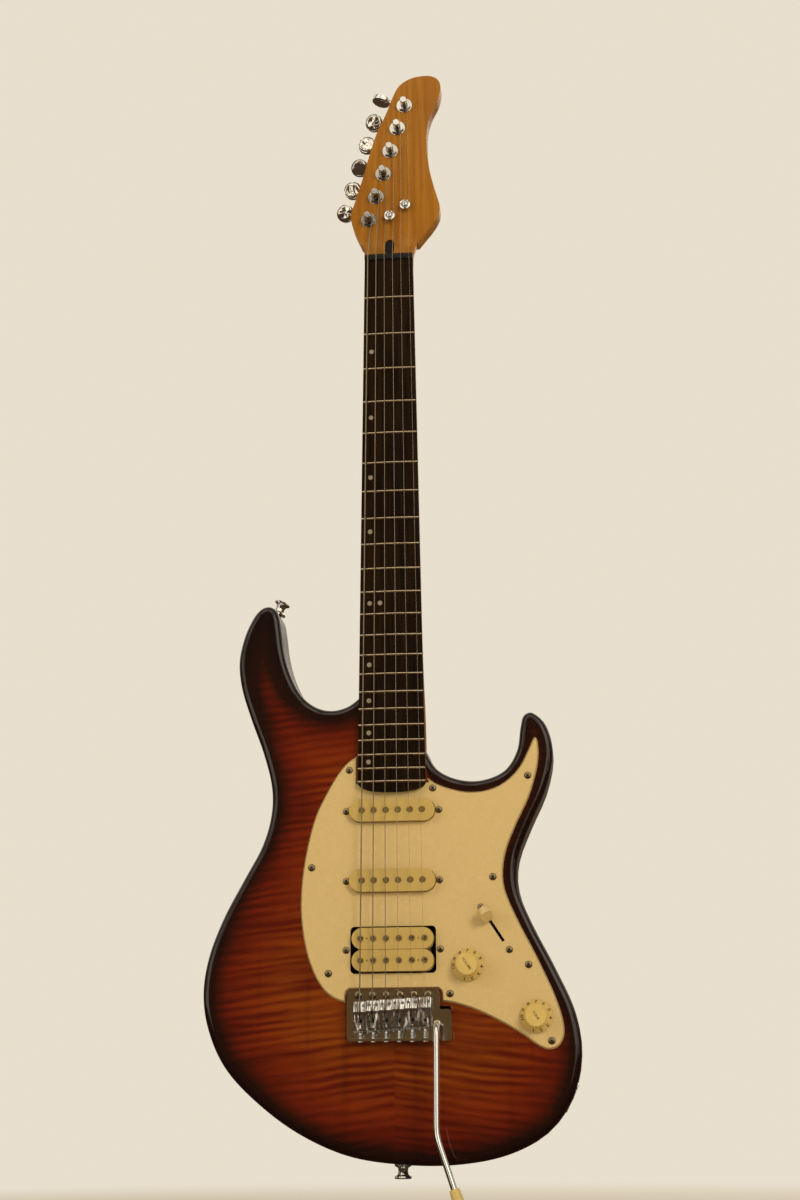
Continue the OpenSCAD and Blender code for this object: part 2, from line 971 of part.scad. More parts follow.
module potentiometers() {
  color("#a9a9a7")
    for (p = [volume_at, tone_at])
      translate([p[0], p[1], 0])
        difference() {
          union() {
            translate([0, 0, -11])
              cylinder(r = 11.8, h = 10.8);
            translate([0, 0, -1])
              cylinder(r = 4, h = guard_top + 4.2);
            translate([0, 0, guard_top])
              cylinder(r = 5.6, h = 2, $fn = 6);
          }
          translate([0, 0, -9])
            cylinder(r = 3.05, h = 40);
        }
}

module knob(at) {
  base = guard_top + 0.8;
  shaft_end = base + knob_height - 2.4;
  translate([at[0], at[1], base])
    difference() {
      union() {
        rotate_extrude()
          polygon([[0, 0], [knob_r, 0], [knob_r, 1.2], [9.6, 5.4], [9.2, 6.4], [0, 6.4]]);
        linear_extrude(knob_height - 0.6)
          difference() {
            circle(8.9);
            for (a = [0:15:345])
              rotate([0, 0, a])
                translate([9.3, 0])
                  circle(0.75);
          }
        cylinder(r = 8.1, h = knob_height);
      }
      translate([0, 0, -1])
        cylinder(r = 6.4, h = 6.5);
      translate([0, 0, 4])
        cylinder(r = 3.02, h = knob_height - 6);
    }
  translate([at[0], at[1], -8.8])
    cylinder(r = 2.98, h = shaft_end + 8.6);
}

module volume_knob() {
  color("#dcc694")
    knob(volume_at);
}

module tone_knob() {
  color("#dcc694")
    knob(tone_at);
}

module switch_place() {
  translate([switch_at[0], switch_at[1], 0])
    rotate([0, 0, switch_turn])
      children();
}

module switch_frame() {
  color("#b7b7b4")
    switch_place()
      difference() {
        union() {
          translate([-24, -6, -1.6])
            cube([48, 12, 1.6]);
          translate([-20, -6, -26])
            cube([40, 12, 25]);
        }
        translate([-14.5, -1.6, -30])
          cube([29, 3.2, 40]);
        translate([0, 0, switch_pivot])
          rotate([90, 0, 0])
            cylinder(r = 1.55, h = 40, center = true);
        for (s = [-1, 1])
          translate([20.4 * s, 0, -6])
            cylinder(r = 1.52, h = 20);
      }
}

module lever_place() {
  switch_place()
    translate([0, 0, switch_pivot])
      rotate([0, -switch_lean, 0])
        children();
}

module switch_lever() {
  color("#c9c9c6")
    lever_place() {
      translate([-2.4, -0.7, -3])
        cube([4.8, 1.4, 29]);
      rotate([90, 0, 0])
        cylinder(r = 1.5, h = 12, center = true);
    }
}

module switch_tip() {
  color("#dcc694")
    lever_place()
      translate([0, 0, 23])
        difference() {
          rotate([90, 0, 90])
            linear_extrude(6.4, center = true) {
              translate([0, 9.4])
                circle(5.2);
              polygon([[-3.4, 0], [3.4, 0], [4.9, 7.6], [-4.9, 7.6]]);
            }
          translate([-2.41, -0.71, -1])
            cube([4.82, 1.42, 4.02]);
        }
}

module jack_place() {
  translate([jack_at[0], jack_at[1], mid_depth])
    rotate([0, 0, jack_turn])
      rotate([0, 90, 0])
        children();
}

module jack_cup() {
  color("#cfcfcd")
    jack_place()
      difference() {
        union() {
          translate([0, 0, -1.6])
            cylinder(r = 12.5, h = 1.8);
          translate([0, 0, -12])
            cylinder(r = 9.9, h = 11);
        }
        translate([0, 0, -10])
          cylinder(r = 8.6, h = 20);
        translate([0, 0, -20])
          cylinder(r = 4.8, h = 20);
      }
}

module output_jack() {
  color("#bfbfbb")
    jack_place()
      difference() {
        union() {
          translate([0, 0, -14])
            cylinder(r = 4.75, h = 9);
          translate([0, 0, -10])
            cylinder(r = 6.4, h = 2.4, $fn = 6);
          translate([0, 0, -32])
            cylinder(r = 8, h = 20);
        }
        translate([0, 0, -30])
          cylinder(r = 3.2, h = 40);
      }
}

// Vibrato bridge

module bridge_plate() {
  color("#d0d0ce")
    difference() {
      union() {
        translate([0, 0, plate_level])
          linear_extrude(plate_depth)
            difference() {
              union() {
                translate([0.2, -654.2])
                  rounded_plate([74.6, 40.4], 3.5);
                translate([40, -662])
                  rounded_plate([13, 24.6], 2.5);
              }
              for (k = [0:5])
                translate([pivot_x(k), pivot_y])
                  circle(2.2);
              for (k = [0:5])
                translate([saddle_spread * string_part(k), block_y])
                  circle(2);
              translate(arm_at)
                circle(arm_r + 0.06);
            }
        translate([-34, lip_y - 1, bridge_top - 1])
          cube([68, 2, 8.4]);
      }
      for (k = [0:5])
        translate([saddle_spread * string_part(k), lip_y - 5, screw_level])
          rotate([-90, 0, 0])
            cylinder(r = 1.35, h = 10);
      for (x = block_screw_rows)
        translate([x, block_y, plate_level - 1])
          cylinder(r = 1.7, h = 10);
    }
}

function pivot_x(k) = 0.2 + 56 * string_part(k);
screw_level = bridge_top + 3.6;

module sustain_block() {
  color("#8f8f8d")
    difference() {
      translate([-32, block_y - 6, block_back])
        cube([76.6, 12, plate_level - block_back]);
      for (k = [0:5])
        translate([saddle_spread * string_part(k), block_y, 0]) {
          cylinder(r = 1.4, h = 100, center = true);
          translate([0, 0, block_back - 1])
            cylinder(r = 2.6, h = 26);
        }
      for (x = block_screw_rows)
        translate([x, block_y, plate_level - 12])
          cylinder(r = 1.5, h = 20);
      translate([arm_at[0], arm_at[1], -26])
        cylinder(r = arm_r + 0.06, h = 60);
      for (x = spring_rows)
        translate([x, block_y + 7, spring_level])
          rotate([90, 0, 0])
            cylinder(r = 1, h = 8);
    }
}

module block_screws() {
  color("#b5b5b2")
    for (x = block_screw_rows)
      translate([x, block_y, bridge_top])
        screw(2.5, 0.9, 1.48, 13);
}

saddle_front = -641.8;
saddle_rear = -666.5;
height_screw_y = saddle_front - 3.3;
saddle_crest = board_level(0) + saddle_lift - 0.1;

// Bent steel strip seen from the side, crest under the string
module saddle(drop) {
  crest = saddle_crest;
  difference() {
    rotate([90, 0, 90])
      linear_extrude(9.8, center = true)
        polygon([
          [saddle_rear, bridge_top + 1.6], [saddle_rear, crest - 3.4], [saddle_rear + 1.6, crest - 1.6],
          [saddle_y - 2.2, crest - 0.3], [saddle_y, crest], [saddle_y + 2, crest - 0.9],
          [saddle_front, crest - 4], [saddle_front, crest - 6], [saddle_y + 1, crest - 2.8],
          [saddle_y - 2.4, crest - 2.1], [saddle_rear + 2.4, crest - 3.3],
          [saddle_rear + 1.6, crest - 4.2], [saddle_rear + 1.6, bridge_top + 1.6]
        ]);
    translate([-1.6, saddle_rear + 3.4, crest - 8])
      cube([3.2, saddle_y - 1.4 - saddle_rear - 3.4, 20]);
    translate([0, saddle_rear - 5, screw_level + drop])
      rotate([-90, 0, 0])
        cylinder(r = 1.22, h = 10);
    for (s = [-3, 3])
      translate([s, height_screw_y, 0])
        cylinder(r = 1.3, h = 40);
  }
}

function saddle_drop(k) = board_level(0) - board_level(saddle_spread * string_part(k));

module saddles() {
  color("#d4d4d2")
    for (k = [0:5])
      translate([saddle_spread * string_part(k), saddle_shift(k), -saddle_drop(k)])
        saddle(saddle_drop(k));
}

module saddle_screws() {
  color("#a4a4a2")
    for (k = [0:5])
      for (s = [-3, 3])
        translate([saddle_spread * string_part(k) + s, height_screw_y + saddle_shift(k), bridge_top])
          cylinder(r = 1.28, h = saddle_crest - bridge_top - 1.9 - saddle_drop(k));
}

module intonation_screws() {
  color("#c0c0bd")
    for (k = [0:5])
      translate([saddle_spread * string_part(k), lip_y - 1, screw_level])
        rotate([90, 0, 0])
          screw(2.4, 1.5, 1.2, 13);
}

spring_curls = 2;
spring_wire = 0.3;

module intonation_springs() {
  color("#b2b2af")
    for (k = [0:5])
      translate([saddle_spread * string_part(k), 0, screw_level])
        tube(intonation_path(k), spring_wire);
}

// Coil round the y direction from one level to another, with straight ends
function coil_path(from, to, r, curls, end) = let (n = curls * 8, run = to - from - 2 * end) concat(
  [[r, from, 0]],
  [for (i = [0:n]) [r * cos(i * 45), from + end + run * i / n, r * sin(i * 45)]],
  [[r, to, 0]]
);
function intonation_path(k) =
  coil_path(lip_y + 1.4, saddle_rear - 0.4 + saddle_shift(k), 1.95, spring_curls, 2 * spring_wire);

// Least space between two turns of one tube, over points at least some steps apart
function self_gap(path, r, steps) = min([
  for (i = [0:len(path) - 1])
    for (j = [i + steps:1:len(path) - 1])
      norm(path[i] - path[j]) - 2 * r
]);

module pivot_screws() {
  color("#cacac8")
    for (k = [0:5])
      translate([pivot_x(k), pivot_y, bridge_top + 0.7])
        screw(3.3, 1.6, 1.6, 26);
}

arm_rise = arm_height - 10;
arm_run = 69;
arm_bend = 19;
arm_bend_r = 50;
arm_end = 49;

module arm_place() {
  translate([arm_at[0], arm_at[1], -24])
    rotate([0, 0, -90])
      children();
}

// Straight rod that runs a little way into the bends at its ends
module straight_rod(length) {
  translate([0, 0, -rod_lap])
    cylinder(r = arm_r - rod_ease, h = length + 2 * rod_lap);
}

rod_lap = 0.4;
rod_ease = 0.02;

module arm_bends() {
  bent_rod(arm_r, 10, 84)
    union() {
      straight_rod(arm_run);
      translate([0, 0, arm_run])
        rotate([0, 0, 90])
          bent_rod(arm_r, arm_bend_r, arm_bend)
            children();
    }
}

module vibrato_arm() {
  color("#d3d3d1")
    arm_place() {
      straight_rod(24 + arm_rise);
      translate([0, 0, 24 + arm_rise])
        arm_bends()
          straight_rod(arm_end);
    }
}

module arm_tip() {
  color("#d8c07c")
    arm_place()
      translate([0, 0, 24 + arm_rise])
        arm_tip_at();
}

// The tip sits at the same place as the end of the arm's rod
module arm_tip_at() {
  translate([10 * (1 - cos(84)), 0, 10 * sin(84)])
    rotate([0, 84, 0])
      translate([0, 0, arm_run])
        rotate([0, 0, 90])
          translate([arm_bend_r * (1 - cos(arm_bend)), 0, arm_bend_r * sin(arm_bend)])
            rotate([0, arm_bend, 0])
              translate([0, 0, arm_end - 16])
                difference() {
                  rotate_extrude()
                    polygon([
                      [0, 0], [3.6, 0], [4.2, 2], [4.6, 12], [4.6, 18], [4.1, 21.5],
                      [3, 24], [1.4, 25.3], [0, 25.5]
                    ]);
                  translate([0, 0, -1])
                    cylinder(r = arm_r, h = 17 + rod_lap + seat_gap);
                }
}

vibrato_curls = 7;
vibrato_wire = 0.55;
vibrato_coil_r = 3.4;
vibrato_path = let (n = vibrato_curls * 8, from = block_y + 9, run = claw_y - 5 - from) concat(
  [[0, block_y + 3.4, 0], [0, block_y + 8.5, 0]],
  [
    for (i = [1:n - 1])
      let (a = i * 45, t = i / n)
        [vibrato_coil_r * sin(a), from + run * t, vibrato_coil_r * cos(a) * min(1, 8 * t, 8 - 8 * t)]
  ],
  [[0, claw_y - 4, 0], [0, claw_y + 1.6, 0]]
);

module vibrato_springs() {
  color("#b4b4b2")
    for (x = spring_rows)
      translate([x, 0, spring_level])
        tube(vibrato_path, vibrato_wire);
}

module spring_claw() {
  color("#a9a9a6")
    translate([0, claw_y, spring_level])
      difference() {
        translate([-26, -0.8, -5])
          cube([52, 1.6, 12]);
        for (x = spring_rows)
          translate([x, 0, 0])
            rotate([90, 0, 0])
              cylinder(r = 1, h = 10, center = true);
        for (x = claw_screw_rows)
          translate([x, 0, 0])
            rotate([90, 0, 0])
              cylinder(r = 1.9, h = 10, center = true);
      }
}

module claw_screws() {
  color("#bcbcb9")
    for (x = claw_screw_rows)
      translate([x, claw_y - 0.8, spring_level])
        rotate([90, 0, 0])
          screw(3.2, 1.8, 1.8, 42);
}

module back_cover() {
  color("#191718")
    translate([0, 0, back - 2])
      linear_extrude(2)
        difference() {
          translate([5, -617.5])
            rounded_plate([102, 157], 6);
          translate([0, block_y])
            rounded_plate([72, 16], 3);
          for (p = cover_screw_points)
            translate(p)
              circle(1.6);
        }
}

// Strings

function tree_level() = head_face + 3.1;
function tangent_point(k) =
  let (p = post_at(k), r = post_waist + 0.3 + gauges[k] / 2) [p[0] + r, p[1], wind_low + gauges[k] / 2];
function tree_point(k) =
  let (a = nut_point(k), b = tangent_point(k), y = k < 4 ? tree_points[0][1] : tree_points[1][1])
    [a[0] + (b[0] - a[0]) * (y - a[1]) / (b[1] - a[1]), y, tree_level()];

function string_path(k) =
  let (
    n = nut_point(k) + [0, 0, gauges[k] / 2],
    s = saddle_point(k) + [0, 0, gauges[k] / 2],
    p = post_at(k),
    r = post_waist + 0.3 + gauges[k] / 2,
    t = tangent_point(k),
    turns = floor(wind_turns * 24),
    top = hole_level(k)
  ) concat(
    [[s[0], block_y, -20], [s[0], block_y, s[2] - 5], [s[0], block_y + 2.4, s[2] - 1.6]],
    [s + [0, -1.6, -0.16]],
    [s + [0, 1, 0], n - [0, 2.5, 0], n + [0, 2.5, -0.1]],
    k > 1 ? [tree_point(k)] : [],
    [
      for (i = [0:turns])
        [
          p[0] + r * cos(i * 15), p[1] + r * sin(i * 15),
          t[2] + (top - t[2]) * i / turns
        ]
    ],
    [
      [p[0] + (r - 0.5) * cos(hole_turn + 8), p[1] + (r - 0.5) * sin(hole_turn + 8), top],
      [p[0] + 1.6 * cos(hole_turn + 8), p[1] + 1.6 * sin(hole_turn + 8), top],
      [p[0], p[1], top]
    ]
  );

module strings() {
  color("#c8c2b4")
    for (k = [0:5]) {
      tube(string_path(k), gauges[k] / 2);
      translate([saddle_spread * string_part(k), block_y, -20])
        rotate([0, 90, 0])
          cylinder(r = 1.9, h = 3.2, center = true);
    }
}

winding_gaps = [for (k = [0:5]) self_gap(string_path(k), gauges[k] / 2, 12)];
echo("least gap of the string windings", min(winding_gaps));
echo("least gap of the vibrato springs", self_gap(vibrato_path, vibrato_wire, 5));
echo("least gap of the intonation springs", self_gap(intonation_path(0), spring_wire, 5));

module stand() {
  rotate([90, 0, 0])
    children();
}

stand() body_back();
stand() body_top();
stand() neck();
stand() fingerboard();
stand() frets();
stand() fret_dots();
stand() nut();
stand() truss_rod();
stand() neck_ferrules();
stand() neck_screws();
stand() string_trees();
stand() tuner_housings();
stand() tuner_nuts();
stand() strap_buttons();
stand() pickguard();
stand() cover_screws();
stand() single_coil_covers();
stand() single_coils();
stand() single_coil_magnets();
stand() humbucker_bobbins();
stand() humbucker_coils();
stand() humbucker_base();
stand() humbucker_magnet();
stand() humbucker_poles();
stand() pickup_screws();
stand() potentiometers();
stand() switch_frame();
stand() output_jack();
stand() jack_cup();
stand() pivot_screws();
stand() spring_claw();
stand() claw_screws();
stand() back_cover();
stand() strings();
stand() vibrato_springs();
stand() bridge_plate();
stand() sustain_block();
stand() block_screws();
stand() saddles();
stand() saddle_screws();
stand() intonation_screws();
stand() intonation_springs();
stand() vibrato_arm();
stand() arm_tip();
stand() volume_knob();
stand() tone_knob();
stand() switch_lever();
stand() switch_tip();
stand() tuner_post(0);  // tuner_post_1
stand() tuner_post(1);  // tuner_post_2
stand() tuner_post(2);  // tuner_post_3
stand() tuner_post(3);  // tuner_post_4
stand() tuner_post(4);  // tuner_post_5
stand() tuner_post(5);  // tuner_post_6
stand() tuner_button(0);  // tuner_button_1
stand() tuner_button(1);  // tuner_button_2
stand() tuner_button(2);  // tuner_button_3
stand() tuner_button(3);  // tuner_button_4
stand() tuner_button(4);  // tuner_button_5
stand() tuner_button(5);  // tuner_button_6
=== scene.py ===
"""Looks of the electric guitar: finishes, fine detail, light and camera."""

import math

import bmesh
import bpy
from mathutils import Matrix, Vector
from mathutils.geometry import delaunay_2d_cdt


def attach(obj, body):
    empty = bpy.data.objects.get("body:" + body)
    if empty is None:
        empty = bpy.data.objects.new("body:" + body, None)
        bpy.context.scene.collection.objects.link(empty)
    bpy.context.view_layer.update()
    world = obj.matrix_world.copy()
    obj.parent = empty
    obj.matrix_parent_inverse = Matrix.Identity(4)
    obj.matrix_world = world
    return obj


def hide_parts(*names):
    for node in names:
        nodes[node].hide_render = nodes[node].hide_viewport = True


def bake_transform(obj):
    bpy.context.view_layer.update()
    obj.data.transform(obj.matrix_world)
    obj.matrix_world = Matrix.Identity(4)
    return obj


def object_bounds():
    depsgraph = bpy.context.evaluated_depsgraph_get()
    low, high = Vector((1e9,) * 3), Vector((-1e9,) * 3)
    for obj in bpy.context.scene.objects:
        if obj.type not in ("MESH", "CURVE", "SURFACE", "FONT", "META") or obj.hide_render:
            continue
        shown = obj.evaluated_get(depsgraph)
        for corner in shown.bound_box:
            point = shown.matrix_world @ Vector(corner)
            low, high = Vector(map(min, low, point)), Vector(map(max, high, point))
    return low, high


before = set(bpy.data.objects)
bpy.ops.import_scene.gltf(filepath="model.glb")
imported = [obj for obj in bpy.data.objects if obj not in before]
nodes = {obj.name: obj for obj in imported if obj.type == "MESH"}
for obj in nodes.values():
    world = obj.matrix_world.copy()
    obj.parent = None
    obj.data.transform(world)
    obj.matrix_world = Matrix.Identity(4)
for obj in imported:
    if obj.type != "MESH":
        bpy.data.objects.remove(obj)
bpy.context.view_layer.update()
scene = bpy.context.scene
MM = 0.001
STRINGS = 6
BRIDGE_SPREAD = 52.0
CORNERS = ((-1, -1), (1, -1), (1, 1), (-1, 1))


def at(x, y, z):
    """A point of the drawing, in millimetres, as a point of the frame."""
    return Vector((x * MM, -z * MM, y * MM))


def across(k, spread):
    """How far string k stands from the middle, in a row of a given width."""
    return spread * (k / (STRINGS - 1) - 0.5)


# Node helpers

# Most values of a noise lie between these two.
NOISE_SPAN = (0.3, 0.7)
COAT_ROUGHNESS = 0.04


def add(tree, kind, inputs=None, **props):
    """A new node, with its properties set and its inputs set or linked."""
    node = tree.nodes.new(kind)
    for key, value in props.items():
        setattr(node, key, value)
    for key, value in (inputs or {}).items():
        if isinstance(value, bpy.types.NodeSocket):
            tree.links.new(value, node.inputs[key])
        else:
            node.inputs[key].default_value = value
    return node


def math_node(tree, operation, *values):
    return add(tree, "ShaderNodeMath", dict(enumerate(values)), operation=operation).outputs[0]


def vector_node(tree, operation, *values):
    """The outputs of a vector operation: a vector, or a number called Value."""
    return add(tree, "ShaderNodeVectorMath", dict(enumerate(values)), operation=operation).outputs


def span(tree, value, source, target=(0.0, 1.0), **props):
    """A value carried from one range to another, and held at its ends."""
    inputs = dict(enumerate((value, *source, *target)))
    return add(tree, "ShaderNodeMapRange", inputs, **props).outputs[0]


def ramp(tree, factor, stops, curve="EASE"):
    node = add(tree, "ShaderNodeValToRGB", {0: factor})
    node.color_ramp.interpolation = curve
    elements = node.color_ramp.elements
    while len(elements) < len(stops):
        elements.new(0.5)
    for element, (place, colour) in zip(elements, stops):
        element.position = place
        element.color = (*colour, 1)
    return node.outputs[0]


def mix(tree, factor, a, b, blend="MIX"):
    """Colour a where the factor is 0, and b where it is 1."""
    inputs = {0: factor}
    for index, value in ((6, a), (7, b)):
        inputs[index] = (*value, 1) if isinstance(value, tuple) else value
    return add(tree, "ShaderNodeMix", inputs, data_type="RGBA", blend_type=blend).outputs[2]


def material(name, colour, roughness, metallic=0.0, coat=0.0, shine=0.5):
    """A new material, with its nodes and its shader."""
    made = bpy.data.materials.new(name)
    made.use_nodes = True
    tree = made.node_tree
    shader = tree.nodes["Principled BSDF"]
    shader.inputs["Base Color"].default_value = (*colour, 1)
    shader.inputs["Roughness"].default_value = roughness
    shader.inputs["Metallic"].default_value = metallic
    shader.inputs["Coat Weight"].default_value = coat
    shader.inputs["Coat Roughness"].default_value = COAT_ROUGHNESS
    shader.inputs["Specular IOR Level"].default_value = shine
    return made, tree, shader


def place_of(tree):
    """The point's place in the frame, in metres."""
    return add(tree, "ShaderNodeTexCoord").outputs["Object"]


def stretched(tree, vector, scale):
    return vector_node(tree, "MULTIPLY", vector, scale)[0]


def noise(tree, vector, scale=1.0, detail=3.0, roughness=0.55):
    inputs = {"Vector": vector, "Scale": scale, "Detail": detail, "Roughness": roughness}
    return add(tree, "ShaderNodeTexNoise", inputs).outputs[0]


def bump(tree, shader, height, strength, distance):
    node = add(tree, "ShaderNodeBump", {"Strength": strength, "Distance": distance, "Height": height})
    tree.links.new(node.outputs[0], shader.inputs["Normal"])


def worn(tree, shader, low, high, scale):
    """Roughness that varies with handling marks."""
    marks = noise(tree, place_of(tree), scale, detail=5.0, roughness=0.6)
    tree.links.new(span(tree, marks, NOISE_SPAN, (low, high)), shader.inputs["Roughness"])


# Finishes

FLAME_SLANT = 0.13
FLAME_WAVES = 870.0
FLAME_DRIFT = 13.0
BURST_PER_METRE = 10.0
BURST_WANDER = 0.08
HORN_HEIGHTS = (-0.425, -0.345)
HORN_SHADE = 0.12
BURST_DARK = (
    (0.0, (0.005, 0.001, 0.0007)), (0.12, (0.009, 0.0013, 0.0007)), (0.24, (0.055, 0.0032, 0.0006)),
    (0.42, (0.088, 0.005, 0.0006)), (0.75, (0.098, 0.0078, 0.0007)),
)
BURST_LIGHT = (
    (0.0, (0.006, 0.0011, 0.0007)), (0.12, (0.016, 0.0019, 0.0008)), (0.24, (0.135, 0.0095, 0.001)),
    (0.42, (0.19, 0.021, 0.0008)), (0.75, (0.225, 0.043, 0.0014)),
)
GRAIN_SWAY = (0.02, 0.02, 0.02)
GRAIN_DEPTH = 0.4 * MM
GRAIN_SHARE = 0.75
CLOUD_SHARE = 0.5
GRAIN_STOPS = (0.42, 0.8)
GRAIN_ROUGHER = 0.12
GRAIN_SMOOTHER = 0.06
METAL_MARKS = 80.0
PLASTIC_MARKS = 120.0
PLASTIC_CLOUDS = 35.0
PLASTIC_GRAIN = 900.0
PLASTIC_RELIEF = 0.015
PLASTIC_DEPTH = 0.2 * MM


def make_flame():
    """Curly maple: stripes across the grain, met at the seam, under a dark burst."""
    made, tree, shader = material("flamed_maple_burst", (0.15, 0.02, 0.001), 0.3, coat=1.0, shine=0.1)
    place = place_of(tree)
    split = add(tree, "ShaderNodeSeparateXYZ", {0: place}).outputs
    slant = math_node(tree, "MULTIPLY", math_node(tree, "ABSOLUTE", split[0]), FLAME_SLANT)
    along = math_node(tree, "ADD", split[2], slant)
    half = math_node(tree, "SIGN", split[0])
    sheet = add(tree, "ShaderNodeCombineXYZ", {0: split[0], 1: along, 2: half}).outputs[0]

    def pattern(scale, detail=2.0, roughness=0.55):
        return noise(tree, stretched(tree, sheet, scale), detail=detail, roughness=roughness)

    drift = math_node(tree, "MULTIPLY", pattern((10, 40, 5)), FLAME_DRIFT)
    wave = math_node(tree, "SINE", math_node(tree, "MULTIPLY_ADD", along, FLAME_WAVES, drift))
    depth = span(tree, pattern((15, 34, 5)), (0.36, 0.62), (0.06, 0.46))
    areas = span(tree, pattern((9, 36, 5), detail=3.0), (0.34, 0.64), (0.1, 0.75))
    fine = span(tree, pattern((24, 420, 5)), NOISE_SPAN, (-0.14, 0.14))
    stripes = math_node(tree, "MULTIPLY_ADD", wave, depth, math_node(tree, "ADD", areas, fine))
    edge = add(tree, "ShaderNodeAttribute", attribute_name="edge").outputs["Fac"]
    inward = math_node(tree, "MULTIPLY", edge, BURST_PER_METRE)
    wander = noise(tree, stretched(tree, place, (22, 1, 22)), detail=2.0)
    shifted = math_node(tree, "MULTIPLY_ADD", wander, BURST_WANDER, inward)
    horn = span(tree, split[2], HORN_HEIGHTS, (0.0, HORN_SHADE))
    burst = math_node(tree, "SUBTRACT", shifted, horn)
    dark = ramp(tree, burst, BURST_DARK, "LINEAR")
    light = ramp(tree, burst, BURST_LIGHT, "LINEAR")
    wood = mix(tree, span(tree, stripes, (0.0, 1.0)), dark, light)
    streak = span(tree, pattern((90, 4, 1), detail=3.0, roughness=0.5), (0.25, 0.45), (0.8, 1.0))
    streaks = add(tree, "ShaderNodeCombineColor", {0: streak, 1: streak, 2: streak}).outputs[0]
    tree.links.new(mix(tree, 1.0, wood, streaks, "MULTIPLY"), shader.inputs["Base Color"])
    worn(tree, shader, low=0.3, high=0.4, scale=45.0)
    return made


def make_wood(name, dark, light, roughness, lines, coat, relief, shine):
    """Straight grain along the neck."""
    made, tree, shader = material(name, light, roughness, coat=coat, shine=shine)
    place = place_of(tree)
    sway = noise(tree, stretched(tree, place, (6, 6, 3)), detail=2.0)
    moved = vector_node(tree, "MULTIPLY_ADD", sway, GRAIN_SWAY, place)[0]
    grain = noise(tree, stretched(tree, moved, lines), detail=5.0, roughness=0.62)
    cloud = noise(tree, stretched(tree, place, (30, 30, 5)))
    streaks = math_node(tree, "MULTIPLY", grain, GRAIN_SHARE)
    both = math_node(tree, "MULTIPLY_ADD", cloud, CLOUD_SHARE, streaks)
    stain = ramp(tree, both, list(zip(GRAIN_STOPS, (dark, light))))
    tree.links.new(stain, shader.inputs["Base Color"])
    rough = span(tree, grain, NOISE_SPAN, (roughness + GRAIN_ROUGHER, roughness - GRAIN_SMOOTHER))
    tree.links.new(rough, shader.inputs["Roughness"])
    bump(tree, shader, grain, relief, GRAIN_DEPTH)
    return made


def make_lacquer():
    """A red lacquer that is nearly black, a little cloudy."""
    made, tree, shader = material("dark_lacquer", (0.02, 0.004, 0.003), 0.3, coat=1.0, shine=0.1)
    cloud = noise(tree, stretched(tree, place_of(tree), (14, 14, 4)), detail=4.0)
    stain = ramp(tree, cloud, [(0.35, (0.01, 0.002, 0.0012)), (0.7, (0.03, 0.0045, 0.002))])
    tree.links.new(stain, shader.inputs["Base Color"])
    worn(tree, shader, low=0.28, high=0.4, scale=40.0)
    return made


def make_metal(name, colour, low, high, swell=0.0, lumps=None):
    """Metal with handling marks; the swell gives cast and bent pieces their uneven faces."""
    made, tree, shader = material(name, colour, low, metallic=1.0)
    worn(tree, shader, low, high, METAL_MARKS)
    if swell:
        faces = noise(tree, stretched(tree, place_of(tree), lumps), detail=1.0)
        bump(tree, shader, faces, 1.0, swell)
    return made


def make_plastic(name, colour, low, high, mottle, shine=0.5):
    """Plastic with a fine grain, its colour a little uneven."""
    made, tree, shader = material(name, colour, low, shine=shine)
    cloud = noise(tree, place_of(tree), PLASTIC_CLOUDS, detail=4.0, roughness=0.6)
    darker = tuple(c * (1 - 2 * mottle) for c in colour)
    tree.links.new(ramp(tree, cloud, [(0.3, darker), (0.7, colour)]), shader.inputs["Base Color"])
    worn(tree, shader, low, high, PLASTIC_MARKS)
    fine = noise(tree, place_of(tree), PLASTIC_GRAIN, detail=2.0)
    bump(tree, shader, fine, PLASTIC_RELIEF, PLASTIC_DEPTH)
    return made


flame = make_flame()
lacquer = make_lacquer()
maple = make_wood(
    "satin_maple", (0.25, 0.086, 0.005), (0.37, 0.148, 0.012),
    roughness=0.4, lines=(260, 260, 7), coat=0.1, relief=0.05, shine=0.2,
)
rosewood = make_wood(
    "rosewood", (0.004, 0.0018, 0.0008), (0.017, 0.0075, 0.0024),
    roughness=0.5, lines=(520, 520, 16), coat=0.0, relief=0.25, shine=0.06,
)
chrome = make_metal("chrome", (0.78, 0.78, 0.77), 0.06, 0.16)
cast_chrome = make_metal("cast_chrome", (0.78, 0.77, 0.74), 0.06, 0.14, swell=0.002, lumps=(110, 110, 110))
bent_chrome = make_metal("bent_chrome", (0.8, 0.79, 0.77), 0.08, 0.18, swell=0.003, lumps=(430, 40, 40))
satin_steel = make_metal("satin_steel", (0.5, 0.5, 0.49), 0.25, 0.42)
fret_wire = make_metal("fret_wire", (0.66, 0.53, 0.36), 0.2, 0.3)
nickel = make_metal("aged_nickel", (0.3, 0.24, 0.14), 0.22, 0.36)
pole_nickel = make_metal("pole_nickel", (0.36, 0.25, 0.1), 0.36, 0.48)
magnet_grey = make_metal("magnet_alloy", (0.34, 0.24, 0.085), 0.42, 0.58)
plain_wire = make_metal("string_steel", (0.42, 0.38, 0.29), 0.2, 0.32)
wound_wire = make_metal("string_wound", (0.32, 0.27, 0.18), 0.32, 0.46)
cream = make_plastic("cream_sheet", (0.64, 0.46, 0.19), 0.2, 0.32, 0.006)
moulded = make_plastic("cream_moulded", (0.54, 0.365, 0.1), 0.28, 0.42, 0.04)
knob_cream = make_plastic("cream_knob", (0.66, 0.46, 0.13), 0.28, 0.42, 0.03)
tip_cream = make_plastic("yellowed_tip", (0.68, 0.5, 0.16), 0.25, 0.4, 0.05)
pearl = make_plastic("pearl_dot", (0.3, 0.25, 0.17), 0.2, 0.35, 0.08)
black = make_plastic("black_plastic", (0.012, 0.011, 0.011), 0.35, 0.5, 0.1, shine=0.15)
ink = make_plastic("dial_ink", (0.085, 0.06, 0.022), 0.5, 0.6, 0.1)

